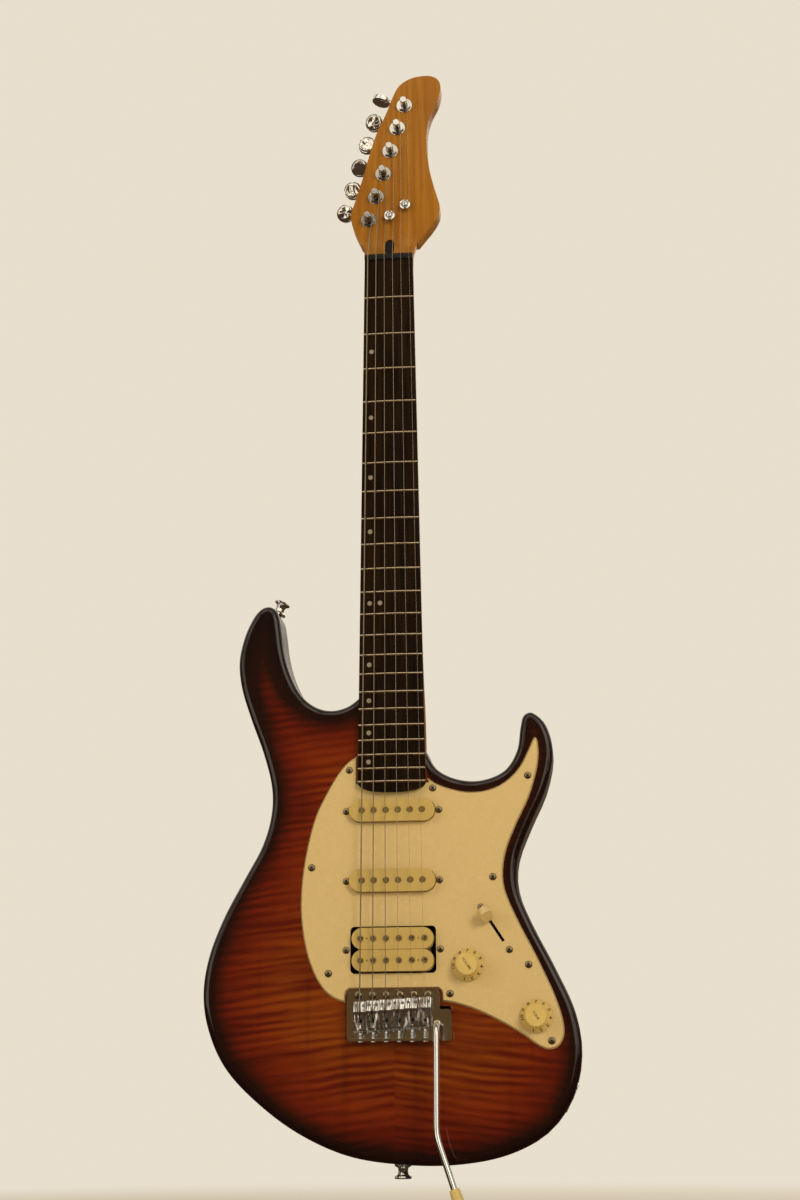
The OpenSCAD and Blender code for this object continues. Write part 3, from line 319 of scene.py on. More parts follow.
# A node that isn't named here is chrome.
FINISHES = {
    "body_back": lacquer,
    "neck": maple,
    "fingerboard": rosewood,
    "frets": fret_wire,
    "fret_dots": pearl,
    "nut": black,
    # The truss rod is black as painted shade: its metal nut sits in a shaded slot
    "truss_rod": black,
    "pickguard": cream,
    "cover_screws": nickel,
    "pickup_screws": nickel,
    "pivot_screws": nickel,
    "humbucker_poles": pole_nickel,
    "single_coil_covers": moulded,
    "humbucker_bobbins": moulded,
    "volume_knob": knob_cream,
    "tone_knob": knob_cream,
    "switch_tip": cream,
    "arm_tip": tip_cream,
    "single_coils": black,
    "humbucker_coils": black,
    "humbucker_base": black,
    "back_cover": black,
    "single_coil_magnets": magnet_grey,
    "humbucker_magnet": magnet_grey,
    "strings": plain_wire,
    "saddles": bent_chrome,
    "sustain_block": satin_steel,
    "vibrato_springs": satin_steel,
    "spring_claw": satin_steel,
    "claw_screws": satin_steel,
    "switch_frame": satin_steel,
    "switch_lever": satin_steel,
    "potentiometers": satin_steel,
    "intonation_springs": satin_steel,
    "saddle_screws": satin_steel,
}
BUTTONS = [f"tuner_button_{k + 1}" for k in range(STRINGS)]
FINISHES.update({name: cast_chrome for name in BUTTONS})
for name, node in nodes.items():
    node.data.materials.clear()
    node.data.materials.append(FINISHES.get(name, chrome))

# Edges of the CAD nodes

JOIN = 1e-6
NEARLY_FLAT = math.radians(0.5)
SHARP = math.radians(40)
UPRIGHT = 0.95
# The width of a broken edge in millimetres, and the faces across it
BROKEN_EDGES = {
    "single_coil_covers": (0.7, 3),
    "humbucker_bobbins": (0.6, 3),
    "saddles": (0.3, 2),
    "bridge_plate": (0.4, 2),
    "switch_tip": (0.8, 3),
    "nut": (0.3, 2),
    "tuner_housings": (0.6, 3),
}
BROKEN_EDGES.update({name: (0.9, 4) for name in BUTTONS})


def welded(name):
    """Joins the doubled points of a CAD node, for the modifiers that follow."""
    nodes[name].modifiers.new("weld", "WELD").merge_threshold = JOIN
    return nodes[name]


def softened(name, width, segments):
    """Breaks the sharp edges of a CAD node, as moulding or polishing does."""
    node = welded(name)
    flats = node.modifiers.new("flats", "DECIMATE")
    flats.decimate_type = "DISSOLVE"
    flats.angle_limit = NEARLY_FLAT
    bevel = node.modifiers.new("bevel", "BEVEL")
    bevel.width = width * MM
    bevel.segments = segments
    bevel.limit_method = "ANGLE"
    bevel.angle_limit = SHARP
    bevel.harden_normals = True


def rounded_side(name):
    """Shades a node's upright edges smooth, so that its curved side mirrors as one face."""
    node = welded(name)
    group = bpy.data.node_groups.new("upright_edges_smooth", "GeometryNodeTree")
    for way in ("INPUT", "OUTPUT"):
        group.interface.new_socket("Geometry", in_out=way, socket_type="NodeSocketGeometry")
    start = group.nodes.new("NodeGroupInput").outputs[0]
    end = group.nodes.new("NodeGroupOutput").inputs[0]
    bare = add(group, "GeometryNodeRemoveAttribute", {"Geometry": start, "Name": "custom_normal"})
    ends = add(group, "GeometryNodeInputMeshEdgeVertices").outputs
    line = vector_node(group, "NORMALIZE", vector_node(group, "SUBTRACT", ends[2], ends[3])[0])[0]
    rise = math_node(group, "ABSOLUTE", add(group, "ShaderNodeSeparateXYZ", {0: line}).outputs[1])
    level = add(group, "FunctionNodeCompare", {0: rise, 1: UPRIGHT}, operation="LESS_THAN").outputs[0]
    faces = add(group, "GeometryNodeSetShadeSmooth", {0: bare.outputs[0]}, domain="FACE").outputs[0]
    edges = add(group, "GeometryNodeSetShadeSmooth", {0: faces, 1: level, 2: False}, domain="EDGE")
    group.links.new(edges.outputs[0], end)
    node.modifiers.new("side", "NODES").node_group = group


for name, (width, segments) in BROKEN_EDGES.items():
    softened(name, width, segments)
rounded_side("body_back")

# Outlines and meshes, in the drawing's millimetres

FLAT_JOIN = 1e-4
MITRE_LIMIT = 0.6


def smooth(points, steps):
    """Points on the curve that passes through the given ones."""
    out = []
    last = len(points) - 1
    for i in range(last):
        a, b, c, d = (Vector(points[min(max(i + k, 0), last)]) for k in (-1, 0, 1, 2))
        for s in range(steps):
            t = s / steps
            curve = 2 * b + (c - a) * t + (2 * a - 5 * b + 4 * c - d) * t * t
            out.append(0.5 * (curve + (3 * b - a - 3 * c + d) * t ** 3))
    return out + [Vector(points[last])]


def inset(points, amount):
    """An open curve moved to its left, which is inside the body."""
    out = []
    for i, p in enumerate(points):
        along = (points[min(i + 1, len(points) - 1)] - points[max(i - 1, 0)]).normalized()
        out.append(p + Vector((-along.y, along.x)) * amount)
    return out


def closed_inset(points, amount):
    """A closed loop, its inside on the right, drawn in."""
    out = []
    for i, p in enumerate(points):
        a = (p - points[i - 1]).normalized()
        b = (points[(i + 1) % len(points)] - p).normalized()
        middle = (Vector((a.y, -a.x)) + Vector((b.y, -b.x))).normalized()
        out.append(p + middle * amount / max(MITRE_LIMIT, middle.dot(Vector((a.y, -a.x)))))
    return out


def nearest(p, line):
    """How far a point is from a line of points."""
    best = math.inf
    for a, b in zip(line, line[1:]):
        ab = b - a
        t = max(0.0, min(1.0, (p - a).dot(ab) / ab.length_squared))
        best = min(best, (a + ab * t - p).length_squared)
    return math.sqrt(best)


def inside(p, loop):
    """Whether a point lies inside a closed loop."""
    hit = False
    for a, b in zip(loop, loop[1:] + loop[:1]):
        if (a.y > p.y) != (b.y > p.y) and p.x < (b.x - a.x) * (p.y - a.y) / (b.y - a.y) + a.x:
            hit = not hit
    return hit


def fill(made, loop, holes, vert, more=()):
    """Adds the flat face inside a loop and outside its holes; vert makes each point of the mesh."""
    points = []
    edges = []
    for ring in [loop] + holes:
        first = len(points)
        points += ring
        edges += [(first + i, first + (i + 1) % len(ring)) for i in range(len(ring))]
    flat, _, faces, *_ = delaunay_2d_cdt(points + list(more), edges, [], 0, FLAT_JOIN)
    verts = [vert(p) for p in flat]
    for face in faces:
        middle = sum((flat[i] for i in face), Vector((0, 0))) / len(face)
        if inside(middle, loop) and not any(inside(middle, hole) for hole in holes):
            made.faces.new([verts[i] for i in face])


def wall(made, upper, lower, closed=True):
    """Adds the faces between two rows of points, and gives them."""
    faces = []
    for i in range(len(upper) if closed else len(upper) - 1):
        j = (i + 1) % len(upper)
        faces.append(made.faces.new([upper[i], upper[j], lower[j], lower[i]]))
    return faces


def join(made):
    """Joins faces that meet, and turns them all outwards."""
    bmesh.ops.remove_doubles(made, verts=made.verts, dist=JOIN)
    bmesh.ops.recalc_face_normals(made, faces=made.faces)


def mesh_object(name, made, finish, body, smooth_faces=True):
    """A piece made from a mesh, riding on a body if one is named."""
    mesh = bpy.data.meshes.new(name)
    made.to_mesh(mesh)
    made.free()
    mesh.polygons.foreach_set("use_smooth", [smooth_faces] * len(mesh.polygons))
    mesh.materials.append(finish)
    obj = bpy.data.objects.new(name, mesh)
    scene.collection.objects.link(obj)
    if body:
        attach(obj, body)
    return obj


# The maple top, with how far each point is from the body's edge

BODY = [
    (-27, -392), (-38, -400), (-52, -403), (-66, -399), (-78, -388), (-87, -370), (-92.5, -350),
    (-95, -331), (-97.5, -318), (-103.5, -311.6), (-111.5, -312.6), (-119, -321), (-126.5, -338),
    (-130.5, -359), (-128, -382), (-119.5, -409), (-108.5, -439), (-101.5, -467), (-101.8, -491),
    (-109, -516), (-123, -542), (-140, -574), (-152, -606), (-156, -636), (-151, -665), (-137, -694),
    (-112, -720), (-78, -744.5), (-38, -762), (5, -768.8), (48, -769.2), (88, -762.2), (120, -746),
    (141, -719), (149, -686), (145, -653), (130, -618), (112, -582), (101.5, -554), (102, -529),
    (113, -501), (126, -473), (132.5, -444), (128, -421), (117.5, -409.6), (109.5, -411.3),
    (106.5, -421), (103, -441), (92, -457.5), (72, -465), (52, -463), (36, -454), (27, -438),
]
POCKET = [(28, -465.15), (-28, -465.15)]
HOLES = [
    [(-34, -671), (45.6, -671), (45.6, -647), (-34, -647)],
    [(46, -615), (52, -602), (66, -600), (62, -570), (82, -556), (110, -598), (121, -642), (129, -654),
     (122, -669), (104, -667), (80, -630), (62, -630), (50, -626)],
    [(-45, -623.7), (45, -623.7), (45, -580.7), (-45, -580.7)],
    [(-45, -559.3), (45, -559.3), (45, -534.3), (-45, -534.3)],
    [(-45, -502), (45, -502), (45, -477), (-45, -477)],
]
TOP_DEPTH = 7.0
TOP_ROUND = 5.0
ROUND_STEPS = 6
FLAT_STRIP = 1.2
RIM_STEPS = 8
GRID_STEP = 5.0
GRID_COLUMNS = range(-32, 32)
GRID_ROWS = range(-155, -61)
GRID_MARGIN = 2.0
PAST_BURST = 60.0


def build_top():
    rim = smooth(BODY, RIM_STEPS)
    coarse = rim[::RIM_STEPS // 2]
    notch = [Vector(p) for p in POCKET]
    round_width = TOP_ROUND + FLAT_STRIP
    face_loop = inset(rim, round_width) + notch
    holes = [[Vector(p) for p in hole] for hole in HOLES]
    grid = []
    for i in GRID_COLUMNS:
        for j in GRID_ROWS:
            p = Vector(((i + 0.5 * (j % 2)) * GRID_STEP, j * GRID_STEP))
            if inside(p, face_loop) and nearest(p, face_loop + face_loop[:1]) > GRID_MARGIN:
                grid.append(p)
    made = bmesh.new()
    layer = made.verts.layers.float.new("edge")

    def vert(p, z, distance):
        v = made.verts.new(at(p.x, p.y, z))
        v[layer] = distance * MM
        return v

    fill(made, face_loop, holes, lambda p: vert(p, 0.0, nearest(p, coarse)), grid)
    rings = [[vert(p, 0.0, round_width) for p in inset(rim, round_width)]]
    for k in range(ROUND_STEPS + 1):
        turn = math.radians(90 * k / ROUND_STEPS)
        inward = TOP_ROUND * (1 - math.sin(turn))
        level = TOP_ROUND * (math.cos(turn) - 1)
        rings.append([vert(p, level, inward) for p in inset(rim, inward)])
    rings.append([vert(p, -TOP_DEPTH, 0.0) for p in rim])
    fill(made, rim + notch, holes, lambda p: vert(p, -TOP_DEPTH, nearest(p, coarse)))
    for upper, lower in zip(rings, rings[1:]):
        wall(made, upper, lower, closed=False)
    for loop in holes + [[rim[-1]] + notch + [rim[0]]]:
        upper = [vert(p, 0.0, PAST_BURST) for p in loop]
        lower = [vert(p, -TOP_DEPTH, PAST_BURST) for p in loop]
        wall(made, upper, lower, closed=loop in holes)
    join(made)
    return mesh_object("maple_top", made, flame, "guitar")


maple_top = build_top()
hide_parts("body_top")

# The pickguard: three plies, with a bevelled edge that shows the dark one

GUARD_TREBLE = [
    (29, -462.5), (36.5, -467.5), (49, -472.3), (64, -475), (80, -473.2), (94, -466.3), (105, -455),
    (112.5, -441), (117.5, -431), (120.3, -434), (120.8, -447), (117.8, -463), (111.3, -482), (102, -501),
    (93.5, -521), (89.8, -539), (91.5, -557), (102, -582), (116, -610), (128.5, -638), (134.8, -658),
    (135.5, -670.5), (131, -679), (123, -681.6), (114.5, -678.3), (103, -670), (86, -660), (66, -650.4),
    (50, -645.3), (38.8, -643.2),
]
GUARD_BASS = [
    (-38.8, -643.4), (-48, -640.2), (-57, -633), (-65, -619.8), (-71.5, -600.8), (-75.5, -575),
    (-75.3, -549), (-71.5, -522), (-64.5, -494.3), (-55, -474), (-45.5, -458), (-37, -448), (-29, -443),
]
GUARD_NECK = [(-29, -465.6), (29, -465.6)]
GUARD_BRIDGE = [
    (38.8, -637.6), (38.2, -635), (36.2, -633.2), (-36.2, -633.2), (-38.2, -635), (-38.8, -637.6),
]
GUARD_STEPS = 6
GUARD_DEPTH = 2.4
# Each row of the bevel: how far in, how high, and the material of the ply above it
GUARD_EDGE = ((0.0, 0.0, 0), (0.4, 0.75, 1), (0.62, 1.05, 0), (1.3, 2.3, 0), (1.45, GUARD_DEPTH, 0))
NECK_COIL = Vector((0, -489.5))
MIDDLE_COIL = Vector((0, -546.8))
HUM_AT = Vector((0, -602.2))
SWITCH_AT = Vector((82.5, -586.4))
SWITCH_TURN = math.radians(-56.9)
# Each knob's body, centre and word
KNOBS = (("volume", (60.1, -615.2), "VOLUME"), ("tone", (114.0, -656.0), "TONE"))
COIL_HOLE = (71.2, 19.2)
COIL_POINTS = 40
HUM_HOLE = (69.6, 37.6)
HUM_HOLE_ROUND = 3.5
SWITCH_SLOT = (24.6, 2.4)
SHAFT_HOLE = 4.2
HOLE_POINTS = 24


def ring_of(centre, radius):
    """The points of a circle."""
    turns = [math.tau * i / HOLE_POINTS for i in range(HOLE_POINTS)]
    return [centre + radius * Vector((math.cos(turn), math.sin(turn))) for turn in turns]


def stadium(centre, length, width):
    """A slot with round ends."""
    out = []
    for i in range(COIL_POINTS):
        turn = math.tau * (i + 0.5) / COIL_POINTS
        shift = math.copysign((length - width) / 2, math.cos(turn))
        out.append(centre + Vector((shift + width / 2 * math.cos(turn), width / 2 * math.sin(turn))))
    return out


def rounded(centre, size, radius):
    """A box with round corners."""
    out = []
    for i in range(HOLE_POINTS):
        turn = math.tau * (i + 0.5) / HOLE_POINTS
        dx = math.copysign(size[0] / 2 - radius, math.cos(turn)) + radius * math.cos(turn)
        dy = math.copysign(size[1] / 2 - radius, math.sin(turn)) + radius * math.sin(turn)
        out.append(centre + Vector((dx, dy)))
    return out


def turned_box(centre, turn, length, width):
    right = Vector((math.cos(turn), math.sin(turn)))
    up = Vector((-right.y, right.x))
    return [centre + right * length / 2 * a + up * width / 2 * b for a, b in CORNERS]


def build_guard():
    rim = [Vector(p) for p in GUARD_NECK] + smooth(GUARD_TREBLE, GUARD_STEPS)
    rim += [Vector(p) for p in GUARD_BRIDGE] + smooth(GUARD_BASS, GUARD_STEPS)
    holes = [stadium(NECK_COIL, *COIL_HOLE), stadium(MIDDLE_COIL, *COIL_HOLE)]
    holes.append(rounded(HUM_AT, HUM_HOLE, HUM_HOLE_ROUND))
    holes.append(turned_box(SWITCH_AT, SWITCH_TURN, *SWITCH_SLOT))
    holes += [ring_of(Vector(centre), SHAFT_HOLE) for _, centre, _ in KNOBS]
    made = bmesh.new()

    def row(points, level):
        return [made.verts.new(at(p.x, p.y, level)) for p in points]

    rings = [row(closed_inset(rim, amount), level) for amount, level, _ in GUARD_EDGE]
    for low, high, (_, _, ply) in zip(rings, rings[1:], GUARD_EDGE):
        for face in wall(made, low, high):
            face.material_index = ply
    for amount, level, _ in (GUARD_EDGE[-1], GUARD_EDGE[0]):
        fill(made, closed_inset(rim, amount), holes, lambda p: made.verts.new(at(p.x, p.y, level)))
    for hole in holes:
        wall(made, row(hole, GUARD_DEPTH), row(hole, 0.0))
    join(made)
    guard = mesh_object("guard_sheet", made, cream, "guitar", False)
    guard.data.materials.append(black)
    return guard


guard = build_guard()
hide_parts("pickguard")

# The end of the board, which runs past the last fret in a full curve

BOARD_RADIUS = 305.0
BOARD_TOP = 9.5
BOARD_BASE = 4.0
BOARD_HALF = 28.0
LAST_FRET = -466.2
FRET_MARGIN = 0.6
BOARD_END = -474.5
END_FULLNESS = 2.6
END_STEPS = 64
SOLID_END = -463.0
SOLID_ROUND = 48.0
SOLID_CENTRE = -424.0
LIP_OVERLAP = 0.3
LIP_DROP = 0.01
# The lip's broken edge: how far back from its end, and how far below its top
LIP_EDGE = ((0.4, 0.0), (0.1, 0.12), (0.0, 0.4))


def board_level(x):
    """The height of the board's curved face."""
    return BOARD_TOP - BOARD_RADIUS + math.sqrt(BOARD_RADIUS ** 2 - x * x)


def build_board_end():
    """A lip between the solid board's end and the full curve."""
    made = bmesh.new()
    corner = LAST_FRET - FRET_MARGIN
    rows = []
    for i in range(END_STEPS + 1):
        x = BOARD_HALF * math.sin(math.pi * (i / END_STEPS - 0.5))
        full = max(1 - abs(x / BOARD_HALF) ** END_FULLNESS, 0.0)
        end = corner + (BOARD_END - corner) * math.sqrt(full)
        start = min(SOLID_END, SOLID_CENTRE - math.sqrt(SOLID_ROUND ** 2 - x * x)) + LIP_OVERLAP
        top = board_level(x) - LIP_DROP
        spots = [(start, BOARD_BASE), (start, top)]
        spots += [(end + back, top - down) for back, down in LIP_EDGE]
        spots.append((end, BOARD_BASE))
        rows.append([made.verts.new(at(x, y, z)) for y, z in spots])
    for left, right in zip(rows, rows[1:]):
        wall(made, left, right)
    made.faces.new(rows[0])
    made.faces.new(rows[-1][::-1])
    bmesh.ops.recalc_face_normals(made, faces=made.faces)
    return mesh_object("board_end", made, rosewood, "guitar", False)


build_board_end()

# Painted shade in the screw heads: black bars stand in for the shaded cuts

EAST = Vector((1, 0, 0))
NORTH = Vector((0, 1, 0))
# The black bars of painted shade stand this far above the screw heads, and sink this far below them
SHADE_BAR_LIFT = 0.02
SHADE_BAR_DEPTH = 0.3
GUARD_SCREWS = [
    (-35.7, -455.1), (-66.7, -535.1), (-52.7, -620.5), (45.5, -637.5), (125.7, -675), (108.8, -615.5),
    (81.5, -545.1), (111.7, -462.8), (33.4, -471.5),
]
BACK_SCREWS = [(-41, -544), (51, -544), (-41, -640), (51, -640), (-41, -691), (51, -691)]
GUARD_HEAD = GUARD_DEPTH + 1.2
BACK_HEAD = -47.2
PICKUP_HEAD = GUARD_DEPTH + 1.3
POLE_HEAD = 8.42
PICKUP_SCREW_X = 38.2
SWITCH_SCREW_X = 20.4
POLE_ROW = 8.75
# How far a painted-shade bar for a cut reaches from the middle, and its width
COVER_CUT = (1.25, 0.5)
PICKUP_CUT = (1.2, 0.5)
POLE_CUT = (1.7, 0.6)
# The turn from each screw to the next, in radians: screws of a row aren't driven home alike
GUARD_SPIN = 0.7
BACK_SPIN = 0.5
BACK_SPIN_FIRST = 0.2
PICKUP_SPIN = 0.9
PICKUP_SPIN_SIDE = 0.4
POLE_SPIN = 0.8
POLE_SPIN_SIDE = 0.5


def slot(made, origin, right, up, reach, width):
    """A closed black bar, sunk in a screw's head, whose face is painted shade in place of the shaded cut.
    """
    corners = [origin + right * reach * s + up * width / 2 * t for s, t in CORNERS]
    out = right.cross(up)
    face = [made.verts.new(at(*(c + out * SHADE_BAR_LIFT))) for c in corners]
    base = [made.verts.new(at(*(c - out * SHADE_BAR_DEPTH))) for c in corners]
    made.faces.new(face)
    made.faces.new(base[::-1])
    wall(made, base, face)


def cross(made, origin, right, up, reach, width):
    slot(made, origin, right, up, reach, width)
    slot(made, origin, up, -right, reach, width)


def build_painted_recess_shade():
    made = bmesh.new()

    def cut(shape, spot, spin, size, right=EAST):
        turn = Matrix.Rotation(spin, 3, "Z")
        shape(made, Vector(spot), turn @ right, turn @ NORTH, *size)

    for i, p in enumerate(GUARD_SCREWS):
        cut(cross, (*p, GUARD_HEAD), GUARD_SPIN * i, COVER_CUT)
    for i, p in enumerate(BACK_SCREWS):
        cut(cross, (*p, BACK_HEAD), BACK_SPIN * i + BACK_SPIN_FIRST, COVER_CUT, -EAST)
    for i, p in enumerate((NECK_COIL, MIDDLE_COIL, HUM_AT)):
        for s in (-1, 1):
            spin = PICKUP_SPIN * i + PICKUP_SPIN_SIDE * s
            cut(cross, (p.x + PICKUP_SCREW_X * s, p.y, PICKUP_HEAD), spin, PICKUP_CUT)
    along = Vector((math.cos(SWITCH_TURN), math.sin(SWITCH_TURN)))
    for s in (-1, 1):
        for k in range(STRINGS):
            spot = (HUM_AT.x + across(k, BRIDGE_SPREAD), HUM_AT.y + POLE_ROW * s, POLE_HEAD)
            cut(slot, spot, POLE_SPIN * k + POLE_SPIN_SIDE * s, POLE_CUT)
        cut(cross, (*(SWITCH_AT + SWITCH_SCREW_X * s * along), PICKUP_HEAD), 0.0, PICKUP_CUT)
    # These black bars are painted shade, not cut geometry: the real cuts are shaded metal
    return mesh_object("painted_recess_shade", made, black, "guitar", False)


recess_shade_bars = build_painted_recess_shade()

# Wires: strings and springs

# A direction that no wire follows, from which the rings of a tube start
TUBE_SIDE = Vector((0.31, 0.17, 0.93))


def tube_mesh(made, path, radius, sides=8):
    """Adds a round tube along a path of points in the drawing's millimetres."""
    path = [Vector(p) for p in path]
    side = TUBE_SIDE
    rings = []
    for i, p in enumerate(path):
        way = (path[min(i + 1, len(path) - 1)] - path[max(i - 1, 0)]).normalized()
        side = (side - way * side.dot(way)).normalized()
        other = way.cross(side)
        ring = []
        for k in range(sides):
            turn = math.tau * k / sides
            out = side * math.cos(turn) + other * math.sin(turn)
            ring.append(made.verts.new(at(*(p + radius * out))))
        rings.append(ring)
    for low, high in zip(rings, rings[1:]):
        wall(made, low, high)
    made.faces.new(rings[0][::-1])
    made.faces.new(rings[-1])


GAUGES = (1.17, 0.91, 0.66, 0.43, 0.33, 0.26)
SCALE = 648.0
NUT_SPREAD = 36.5
NUT_HALF = 2.5
NUT_LIFT = 1.7
NUT_DROP = 0.1
SADDLE_Y = -SCALE - 2
SADDLE_STAGGER = 3.0
SADDLE_LIFT = 5.2
SPEAKING_STEPS = 40
BLOCK_Y = -658.0
BALL_LEVEL = -20.0
BALL_HALF = 1.6
BALL_RADIUS = 1.9
BALL_SIDES = 16
# The bend behind the saddle: how far ahead of the block's bore, and how far below the string at the saddle
SADDLE_BEND = ((0, 5), (0.7, 3.2), (2.4, 1.6))
# The string's last point behind the saddle's top, and the first one past it
SADDLE_REST = (Vector((0, -1.6, -0.16)), Vector((0, 1, 0)))
TUNER_1 = Vector((-18.8, 44.0))
TUNER_LEAN = math.radians(16.3)
TUNER_PITCH = 23.4
HEAD_FACE = -1.4
# Where a tree holds a string down, for the four strings that have one
TREE_ROWS = {2: 45.5, 3: 45.5, 4: 55.5, 5: 55.5}
TREE_LIFT = 3.1
POST_WAIST = 2.5
WIND_CLEARANCE = 0.3
WIND_LOW = 2.1
WIND_RISE = 0.2
WIND_GAP = 0.45
WIND_TURNS = 2.25
STEPS_PER_TURN = 40
OVERLAP_STEPS = 6
TAIL_AIM = math.radians(98)
TAIL_INSET = 0.5
TAIL_MIDDLE = 1.6


def post_at(k):
    """The middle of a string's post."""
    return TUNER_1 + TUNER_PITCH * k * Vector((math.sin(TUNER_LEAN), math.cos(TUNER_LEAN)))


def winding_path(k):
    """The turns of a string on its post, from the point where it meets the post to its end in the slot."""
    thick = GAUGES[k]
    post = post_at(k)
    radius = POST_WAIST + WIND_CLEARANCE + thick / 2
    low = WIND_LOW + thick / 2
    top = low + WIND_RISE + WIND_TURNS * (thick + WIND_GAP)
    steps = int(WIND_TURNS * STEPS_PER_TURN)
    path = []
    for i in range(steps + 1):
        turn = math.tau * i / STEPS_PER_TURN
        level = low + (top - low) * i / steps
        path.append((post.x + radius * math.cos(turn), post.y + radius * math.sin(turn), level))
    aim = Vector((math.cos(TAIL_AIM), math.sin(TAIL_AIM)))
    for reach in (radius - TAIL_INSET, TAIL_MIDDLE, 0):
        path.append((post.x + reach * aim.x, post.y + reach * aim.y, top))
    return path


def string_path(k):
    """A string from the block over its saddle and the nut to the first part of its winding."""
    thick = GAUGES[k]
    nut_x = across(k, NUT_SPREAD)
    end_x = across(k, BRIDGE_SPREAD)
    end_y = SADDLE_Y + across(k, SADDLE_STAGGER)
    nut = Vector((nut_x, NUT_HALF, board_level(nut_x) + NUT_LIFT + thick / 2))
    end = Vector((end_x, end_y, board_level(end_x) + SADDLE_LIFT + thick / 2))
    turns = winding_path(k)
    path = [(end_x, BLOCK_Y, BALL_LEVEL)]
    path += [(end_x, BLOCK_Y + ahead, end.z - below) for ahead, below in SADDLE_BEND]
    path += [end + rest for rest in SADDLE_REST]
    path += [end.lerp(nut, t / SPEAKING_STEPS) for t in range(1, SPEAKING_STEPS)]
    path += [nut - Vector((0, NUT_HALF, 0)), nut + Vector((0, NUT_HALF, -NUT_DROP))]
    first = Vector(turns[0])
    if k in TREE_ROWS:
        row = TREE_ROWS[k]
        share = (row - nut.y) / (first.y - nut.y)
        path.append((nut.x + (first.x - nut.x) * share, row, HEAD_FACE + TREE_LIFT))
    return path + turns[:OVERLAP_STEPS]


STRING_SETS = (("wound_strings", (0, 1, 2), wound_wire), ("plain_strings", (3, 4, 5), plain_wire))
for title, keys, finish in STRING_SETS:
    made = bmesh.new()
    for k in keys:
        tube_mesh(made, string_path(k), GAUGES[k] / 2)
        end_x = across(k, BRIDGE_SPREAD)
        ball = [(end_x + side * BALL_HALF, BLOCK_Y, BALL_LEVEL) for side in (-1, 1)]
        tube_mesh(made, ball, BALL_RADIUS, BALL_SIDES)
    wires = mesh_object(title, made, finish, None)
    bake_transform(wires)
    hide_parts("strings")
    for k in keys:
        made = bmesh.new()
        tube_mesh(made, winding_path(k), GAUGES[k] / 2)
        winding = mesh_object(f"string_winding_{k + 1}", made, finish, f"post_{k + 1}")
        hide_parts("strings")

STEPS_PER_CURL = 16
TAPER = 8
LONG_SPRING_X = (-20.8, 0, 20.8)
LONG_SPRING_Y = (-649, -571)
LONG_SPRING_LEVEL = -36
LONG_SPRING = {"radius": 3.4, "curls": 22, "lead": 6.2, "tapered": True}
LONG_SPRING_WIRE = 0.55
SMALL_SPRING_Y = (-671.3, -667.5)
SMALL_SPRING_LEVEL = 8.7
SMALL_SPRING = {"radius": 1.95, "curls": 4, "lead": 0.6, "tapered": False}
SMALL_SPRING_WIRE = 0.28


def coil(x, start, end, level, radius, curls, lead, tapered):
    """A coil along y with straight leads, its start and end drawn in where it tapers."""
    steps = curls * STEPS_PER_CURL
    out = []
    for i in range(steps + 1):
        t = i / steps
        reach = radius * (min(1, TAPER * t, TAPER - TAPER * t) if tapered else 1)
        turn = math.tau * i / STEPS_PER_CURL
        spot = (x + reach * math.cos(turn), start + (end - start) * t, level + reach * math.sin(turn))
        out.append(Vector(spot))
    step = Vector((0, math.copysign(lead, start - end), 0))
    return [out[0] + step] + out + [out[-1] - step]


made = bmesh.new()
for x in LONG_SPRING_X:
    tube_mesh(made, coil(x, *LONG_SPRING_Y, LONG_SPRING_LEVEL, **LONG_SPRING), LONG_SPRING_WIRE)
springs = mesh_object("long_springs", made, satin_steel, None)
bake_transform(springs)
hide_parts("vibrato_springs")

made = bmesh.new()
for k in range(STRINGS):
    x = across(k, BRIDGE_SPREAD)
    rear, front = SMALL_SPRING_Y
    front += across(k, SADDLE_STAGGER)
    tube_mesh(made, coil(x, rear, front, SMALL_SPRING_LEVEL, **SMALL_SPRING), SMALL_SPRING_WIRE)
small_springs = mesh_object("intonation_coils", made, satin_steel, "vibrato")
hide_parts("intonation_springs")

# Numbers and words on the knobs

KNOB_BASE = 3.2
KNOB_HEIGHT = 14.0
LETTER_DEPTH = 0.02
LETTER_WEIGHT = 0.018
NUMBER_SIZE = 5.2
NUMBER_RING = 11.25
NUMBER_LEVEL = 3.28
SKIRT_RISE = 4.2
SKIRT_RUN = 3.2
SKIRT_SLOPE = math.atan2(SKIRT_RISE, SKIRT_RUN)
DIAL_NUMBERS = 10
DIAL_START = 257
DIAL_STEP = 32.2
WORD_SIZE = 2.9
WORD_LEAN = math.radians(-55)


def letters(made, words, size, place):
    """Adds flat letters to a mesh, set by a matrix."""
    data = bpy.data.curves.new("word", "FONT")
    data.body = words
    data.size = size * MM
    data.align_x = "CENTER"
    data.align_y = "CENTER"
    data.extrude = LETTER_DEPTH * MM
    data.offset = size * MM * LETTER_WEIGHT
    obj = bpy.data.objects.new("word", data)
    scene.collection.objects.link(obj)
    shape = obj.evaluated_get(bpy.context.evaluated_depsgraph_get()).to_mesh().copy()
    shape.transform(place)
    made.from_mesh(shape)
    bpy.data.objects.remove(obj)


def frame_at(origin, right, up):
    """A matrix with x to the right and y up at a point of the drawing."""
    axes = [at(*v) / MM for v in (right, up, right.cross(up))]
    return Matrix([*zip(*axes, at(*origin)), (0, 0, 0, 1)])


